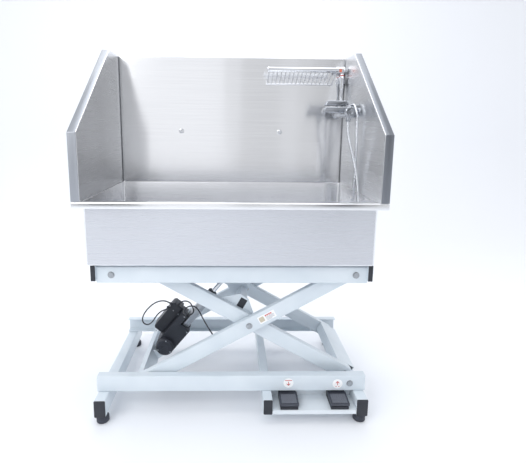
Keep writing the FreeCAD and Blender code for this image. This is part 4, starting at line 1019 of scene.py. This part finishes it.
class WaterOperator(bpy.types.Operator):
    """Mixer, hand shower, rack, eyes and drain"""

    bl_idname = "bath.water"
    bl_label = "Water fittings"

    def execute(self, context):
        self.mixer()
        self.shower()
        copy_with_soft_edges("shower_holder", "chrome", 1.0 * MM)
        for node in ("bottle_rack", "tether_eyes"):
            paint(node, "chrome")
        low, high = corners("bottle_rack")
        ends = []
        for x, way in ((low[0], -1), (high[0], 1)):
            spot = Place(Y, Z * way, X * way, (x, 175 * MM, 1612 * MM))
            ends.append(lathe([(0, 3 * MM), (8 * MM, 3 * MM), (14 * MM, 1 * MM), (14 * MM, -6 * MM),
                               (12.4 * MM, -7 * MM)], 1 * MM, spot, 36))
        piece("rack_bar_ends", ends, "tub", "chrome")
        eyes = []
        for x in (-281 * MM, 263 * MM):
            spot = Place(X, Z, -Y, (x, 295 * MM, 1293.5 * MM))
            eyes.append(lathe([(0, 3 * MM), (9 * MM, 3 * MM), (13 * MM, 1.5 * MM), (14 * MM, -0.5 * MM)],
                              1 * MM, spot, 36))
        piece("eye_plates", eyes, "tub", "chrome")
        copy_with_soft_edges("drain_strainer", "stainless_floor", 0.3 * MM)
        copy_with_soft_edges("waste_outlet", "black_plastic", 1.0 * MM)
        return {"FINISHED"}

    def mixer(self):
        """A turned bar on two wall unions, a flat spout with rounded edges, and a wedge lever."""
        bar = Place(X, Z, Y, (556 * MM, 0, 1392 * MM))
        line = np.array([(0, -48.5), (9, -48.5), (11, -51), (21, -51), (25, -48), (25, -43.5), (23, -42),
                         (23, -24),
                         (22.2, -23), (22.2, -21), (23, -20), (23, 170), (22.2, 171), (22.2, 173), (23, 174),
                         (23, 192), (25, 195), (25, 200), (21, 203), (11, 203), (9, 200.5), (0, 200.5)]) * MM
        grids = [lathe(line, 0.9 * MM, bar, 56)]
        for y in (15, 165):
            union = Place(Y, Z, X, (0, y * MM, 1392 * MM))
            line = np.array([(11.9, 560), (11.9, 583), (15, 585), (15, 598), (13, 600), (13, 603), (20, 605),
                             (24, 609), (24, 613), (11.9, 613), (11.9, 617), (10.5, 617), (10.5, 642),
                             (9.7, 643),
                             (7, 643), (7, 600)]) * MM
            grids.append(lathe(line, 0.8 * MM, union, 40))
        spout = np.array([(444, 1390), (556, 1390), (556, 1417), (450, 1417)]) * MM
        grids.append(plate(spout, [5 * MM, 1 * MM, 1 * MM, 14 * MM], 20 * MM, 90 * MM, 5 * MM, FRONT, 8, 6))
        aerator = Place(X, Y, Z, (462 * MM, 55 * MM, 0))
        line = np.array([(0, 1387.6), (8, 1387.6), (9.5, 1387), (12, 1387), (12, 1391), (0, 1391)]) * MM
        grids.append(lathe(line, 0.5 * MM, aerator, 32))
        cover = np.array(oblong(574, 605, 1368, 1402)) * MM
        grids.append(plate(cover, 5 * MM, 25 * MM, 185 * MM, 4 * MM, FRONT, 8, 6))
        outlet = Place(X, Y, Z, (548 * MM, -43 * MM, 0))
        grids.append(lathe(np.array([(7, 1346), (11, 1346), (11, 1358), (9.5, 1360), (9.5, 1366), (11, 1368),
                                     (11, 1380)]) * MM, 0.6 * MM, outlet, 36))
        post = Place(X, Y, Z, (556 * MM, 55 * MM, 0))
        line = np.array([(20, 1404), (20, 1417.6), (19, 1419), (0, 1419)]) * MM
        grids.append(lathe(line, 0.8 * MM, post, 48))
        piece("mixer_casting", grids, "tub", "chrome_casting", ("mixer_body",))
        cap = np.array([(0, 1419.4), (19, 1419.4), (20, 1420.4), (20, 1423), (18, 1424.4), (0, 1424.4)]) * MM
        piece("mixer_cap_turned", [lathe(cap, 0.5 * MM, post, 48)],
              "mixer_cap", "chrome", ("mixer_cap",))
        wedge = np.array([(452, 1424.8), (568, 1424.8), (568, 1448.8), (464, 1448.8)]) * MM
        grip = plate(wedge, [2.5 * MM, 11.9 * MM, 11.9 * MM, 12 * MM], 30 * MM, 80 * MM, 5 * MM, FRONT, 8, 6)
        piece("mixer_lever_casting", [grip], "mixer_lever", "chrome_casting", ("mixer_lever",))
        for word, y in (("red", 48), ("blue", 62)):
            spot = Place(X, Y, Z, (542 * MM, y * MM, 1448.8 * MM))
            piece(f"index_{word}", [lathe([(0, 0.4 * MM), (2.6 * MM, 0.4 * MM), (3 * MM, -0.3 * MM)], 0.2 * MM,
                                          spot, 20)], "mixer_lever", "index_" + word)

    def shower(self):
        """A turned handle with a red band, under a barrel head whose face is a dark plate of jets."""
        upright = Place(X, Y, Z, (590 * MM, 262 * MM, 0))
        line = np.array([(0, 1500), (8, 1500), (8, 1516), (9, 1520), (10.6, 1528), (12, 1546), (12, 1578),
                         (14.6, 1579), (15, 1584), (14, 1587), (11, 1592), (10.6, 1606),
                         (11.5, 1624), (0, 1624)]) * MM
        barrel = Place(Y, Z, X, (0, 262 * MM, 1624 * MM))
        head = np.array([(14, 553.5), (17, 554), (19, 558), (19, 596), (17, 602), (12, 604), (0, 604)]) * MM
        piece("shower_casting", [lathe(line, 1 * MM, upright, 40), lathe(head, 1.5 * MM, barrel, 48)],
              "hand_shower", "chrome", ("hand_shower",))
        face = np.array([(0, 553.4), (8, 552.6), (14, 552.4), (16, 553), (16, 558)]) * MM
        grids = [lathe(face, 0.8 * MM, barrel, 40)]
        for ring, count in ((4, 6), (8, 11), (12, 16)):
            for i in range(count):
                t = 2 * math.pi * i / count
                centre = (552.8 * MM, 262 * MM + ring * MM * math.cos(t), 1624 * MM + ring * MM * math.sin(t))
                spot = Place(Y, Z, -X, centre)
                grids.append(lathe(np.array([(0, 1.2), (0.7, 1.2), (1.1, 0)]) * MM, 0.2 * MM, spot, 8, 2))
        piece("shower_face", grids, "hand_shower", "black_plastic", ())
        band = np.array([(10.9, 1594), (12.2, 1594), (12.2, 1598), (10.9, 1598)]) * MM
        piece("shower_band", [hoop(eased(band, 0.4 * MM, 3)[0], upright, 32)], "hand_shower", "index_red")
        barrel_front = Place(X, Z, -Y, (576 * MM, (262 - 17.6) * MM, 1622 * MM))
        patch = plate(oblong(-8 * MM, 8 * MM, -10 * MM, 4 * MM), 3 * MM,
                      -1 * MM, 2.2 * MM, 0.8 * MM, barrel_front)
        piece("shower_button", [patch], "hand_shower", "button_orange")
        crest = plate(oblong(-8 * MM, 8 * MM, 5 * MM, 10 * MM), 2 * MM,
                      -3 * MM, 1.6 * MM, 0.8 * MM, barrel_front)
        piece("shower_button_crest", [crest], "hand_shower", "button_orange")


HOSE_ROUTE = [
    (548, -43, 1346), (548, -43, 1300), (557, -53, 1250), (571, -62, 1195), (584, -71, 1135),
    (594, -80, 1075), (599, -92, 1018), (599, -109, 957), (597, -128, 887), (594, -128, 822),
    (592, -83, 777), (592, -17, 777), (594, 28, 822), (597, 28, 887), (600, -2, 950),
    (600, -24, 1012), (599, -29, 1080), (600, -24, 1150), (599, -29, 1220), (597, -27, 1300),
    (594, -27, 1383), (594, 20, 1430), (595, 75, 1430), (594, 130, 1424), (593, 175, 1419),
    (592, 214, 1418), (591, 244, 1435), (590, 262, 1465), (590, 262, 1500)]
MOTOR_LOOP = [
    (-305.7, 0, 409), (-322.2, 0, 422.1), (-347, -8, 434), (-381, -14, 430), (-414, -20, 409),
    (-438, -24, 381), (-453, -28, 353), (-452, -30, 324), (-428, -30, 310), (-404, -27, 324),
    (-386, -24, 354), (-362, -20, 380), (-336, -16, 389), (-316.9, -14, 394.9)]
PEDAL_LEAD = [
    (-275.6, 0, 404.8), (-261.6, 0, 421.8), (-237, -8, 433), (-212, -18, 430), (-198, -27, 413),
    (-187, -37, 385), (-210, -43, 368), (-233, -47, 383), (-234, -52, 409), (-212, -57, 426),
    (-184, -62, 430), (-160, -72, 410), (-139, -92, 376), (-112, -124, 346), (-85, -160, 324),
    (-66, -190, 316), (-66, -219.4, 316)]


def spline_line(route, step):
    """The route's NURBS spline as evenly spaced points, and its length."""
    curve = bpy.data.curves.new("line", "CURVE")
    curve.dimensions = "3D"
    spline = curve.splines.new("NURBS")
    spline.points.add(len(route) - 1)
    flat = np.ones((len(route), 4))
    flat[:, :3] = np.array(route) * MM
    spline.points.foreach_set("co", flat.ravel())
    spline.order_u = 3
    spline.use_endpoint_u = True
    spline.resolution_u = 24
    obj = bpy.data.objects.new("line", curve)
    bpy.context.scene.collection.objects.link(obj)
    mesh = bpy.data.meshes.new_from_object(obj)
    points = np.zeros(len(mesh.vertices) * 3)
    mesh.vertices.foreach_get("co", points)
    points = points.reshape(-1, 3)
    bpy.data.objects.remove(obj)
    bpy.data.curves.remove(curve)
    bpy.data.meshes.remove(mesh)
    run = np.concatenate([[0], np.cumsum(np.linalg.norm(np.diff(points, axis=0), axis=1))])
    keep = np.concatenate([[True], np.diff(run) > 1e-7])
    points, run = points[keep], run[keep]
    even = np.linspace(0, run[-1], int(run[-1] / step) + 1)
    return np.stack([np.interp(even, run, points[:, i]) for i in range(3)], 1), run[-1]


class CordsOperator(bpy.types.Operator):
    """Metal shower hose and the actuator's two cables"""

    bl_idname = "bath.cords"
    bl_label = "Hose and cables"

    def execute(self, context):
        size = sizes()
        path, length = spline_line(HOSE_ROUTE, size.hose_pitch / 4)
        r = 6.6 * MM + 0.4 * MM * np.cos(2 * math.pi * np.arange(len(path)) / 4)
        hose = piece("hose_spiral", [(carried(path, r, 12), True, True)], "tub", "hose_metal",
                     ("shower_hose",), smooth=60)
        for name, node, route, lay in (("motor_cable_sheath", "motor_cable", MOTOR_LOOP, "hanging"),
                                       ("pedal_cable_sheath", "pedal_cable", PEDAL_LEAD, "hanging")):
            path, length = spline_line(route, 2 * MM)
            cable = piece(name, [(carried(path, 3.25 * MM, 12), True, True)], "actuator", "cable_sheath",
                          (node,), smooth=60)
        return {"FINISHED"}


class FinishesOperator(bpy.types.Operator):
    """Every material, named for what it is"""

    bl_idname = "bath.finishes"
    bl_label = "Finishes"

    def execute(self, context):
        c = colours()
        for name, along, code, dark, rough in (
                ("stainless_along", (1, 0, 0), c.steel, "#E6E7EA", (0.14, 0.22)),
                ("stainless_side", (0, 1, 0), c.steel, "#E9EAEC", (0.26, 0.34)),
                # The outside steel is rougher for the sheet's plainer outside, and darker as painted shade
                # under the rim and the floor.
                ("outside_steel_painted_shade", (1, 0, 0), "#CFD1D6", "#C8CAD0", (0.24, 0.34)),
                # Two darker copies of the side steel for the panels' forward faces: painted shade, the right
                # one darker than the left.
                ("lip_painted_shade_left", (0, 0, 1), "#A9ADB4", "#9DA1A8", (0.3, 0.38)),
                ("lip_painted_shade_right", (0, 0, 1), "#8C9097", "#80848B", (0.3, 0.38))):
            MATERIALS[name] = brushed_stainless(name, along, code, dark, rough)
        MATERIALS["stainless_floor"] = plated("satin_stainless", "#C4C7CC", 0.2, 0.3)
        MATERIALS["weld"] = plated("ground_weld", "#9A9CA0", 0.3, 0.5)
        MATERIALS["paint"] = powder_coat("frame_powder_coat", c.paint, "#D2DCE4")
        MATERIALS["tray_paint"] = powder_coat("tray_powder_coat", "#E4EBF1", "#DCE4EB")
        MATERIALS["black_plastic"] = moulded_plastic("black_abs", c.black, "#2C303A")
        MATERIALS["motor_case"] = moulded_plastic("motor_case_abs", "#1D2027", "#343843", 0.5, 0.003)
        MATERIALS["pedal_plastic"] = moulded_plastic("pedal_abs", "#33363F", "#4A4E59", 0.5)
        MATERIALS["chrome"] = plated("chrome_plate", c.chrome, 0.04, 0.1)
        MATERIALS["chrome_casting"] = plated("cast_chrome", "#A6AAB1", 0.08, 0.16)
        MATERIALS["aluminium"] = plated("anodised_aluminium", "#B4B8BE", 0.28, 0.4)
        MATERIALS["zinc"] = zinc_plated("zinc_plate")
        MATERIALS["black_zinc"] = plated("black_zinc_plate", "#3A3D45", 0.35, 0.5)
        MATERIALS["bronze"] = plated("sintered_bronze", "#A07C45", 0.35, 0.5)
        MATERIALS["nylon"] = moulded_plastic("turned_nylon", "#D8D8D2", "#E2E2DC", 0.4)
        MATERIALS["rubber"] = moulded_plastic("moulded_rubber", "#2C2F38", "#454955", 0.6)
        MATERIALS["tread"] = moulded_plastic("studded_rubber", "#5C6069", "#71757F", 0.6)
        MATERIALS["cable_sheath"] = moulded_plastic("pvc_sheath", "#22252C", "#30343D", 0.35)
        MATERIALS["hose_metal"] = plated("interlocked_hose", "#C9CCD1", 0.16, 0.28)
        for name, code in (("label_white", "#F6F7F9"), ("arrow_ink", c.mark), ("label_grey", "#A9ADB4"),
                           ("label_sand", "#C9C0AC"), ("index_red", "#D0402E"), ("index_blue", "#2E5FC0"),
                           ("button_orange", "#DE7A62")):
            MATERIALS[name] = printed_film(name + "_film", code)
        return {"FINISHED"}


class BathPanel(bpy.types.Panel):
    """Lists the pieces in the sidebar"""

    bl_idname = "VIEW3D_PT_bath"
    bl_label = "Grooming bath"
    bl_space_type = "VIEW_3D"
    bl_region_type = "UI"
    bl_category = "Bath"

    def draw(self, context):
        for operator in OPERATORS:
            self.layout.operator(operator.bl_idname)


OPERATORS = (FinishesOperator, StageOperator, CordsOperator, TubOperator, RailsOperator, ArmsOperator,
             DriveOperator, BaseOperator, WaterOperator)
CLASSES = (BathSizes, BathColours, *OPERATORS, BathPanel)


def register():
    for cls in CLASSES:
        bpy.utils.register_class(cls)
    bpy.types.Scene.bath_sizes = bpy.props.PointerProperty(type=BathSizes)
    bpy.types.Scene.bath_colours = bpy.props.PointerProperty(type=BathColours)


def unregister():
    del bpy.types.Scene.bath_colours
    del bpy.types.Scene.bath_sizes
    for cls in reversed(CLASSES):
        bpy.utils.unregister_class(cls)


def main():
    register()
    for operator in OPERATORS:
        group, name = operator.bl_idname.split(".")
        getattr(getattr(bpy.ops, group), name)()


if __name__ == "__main__":
    main()
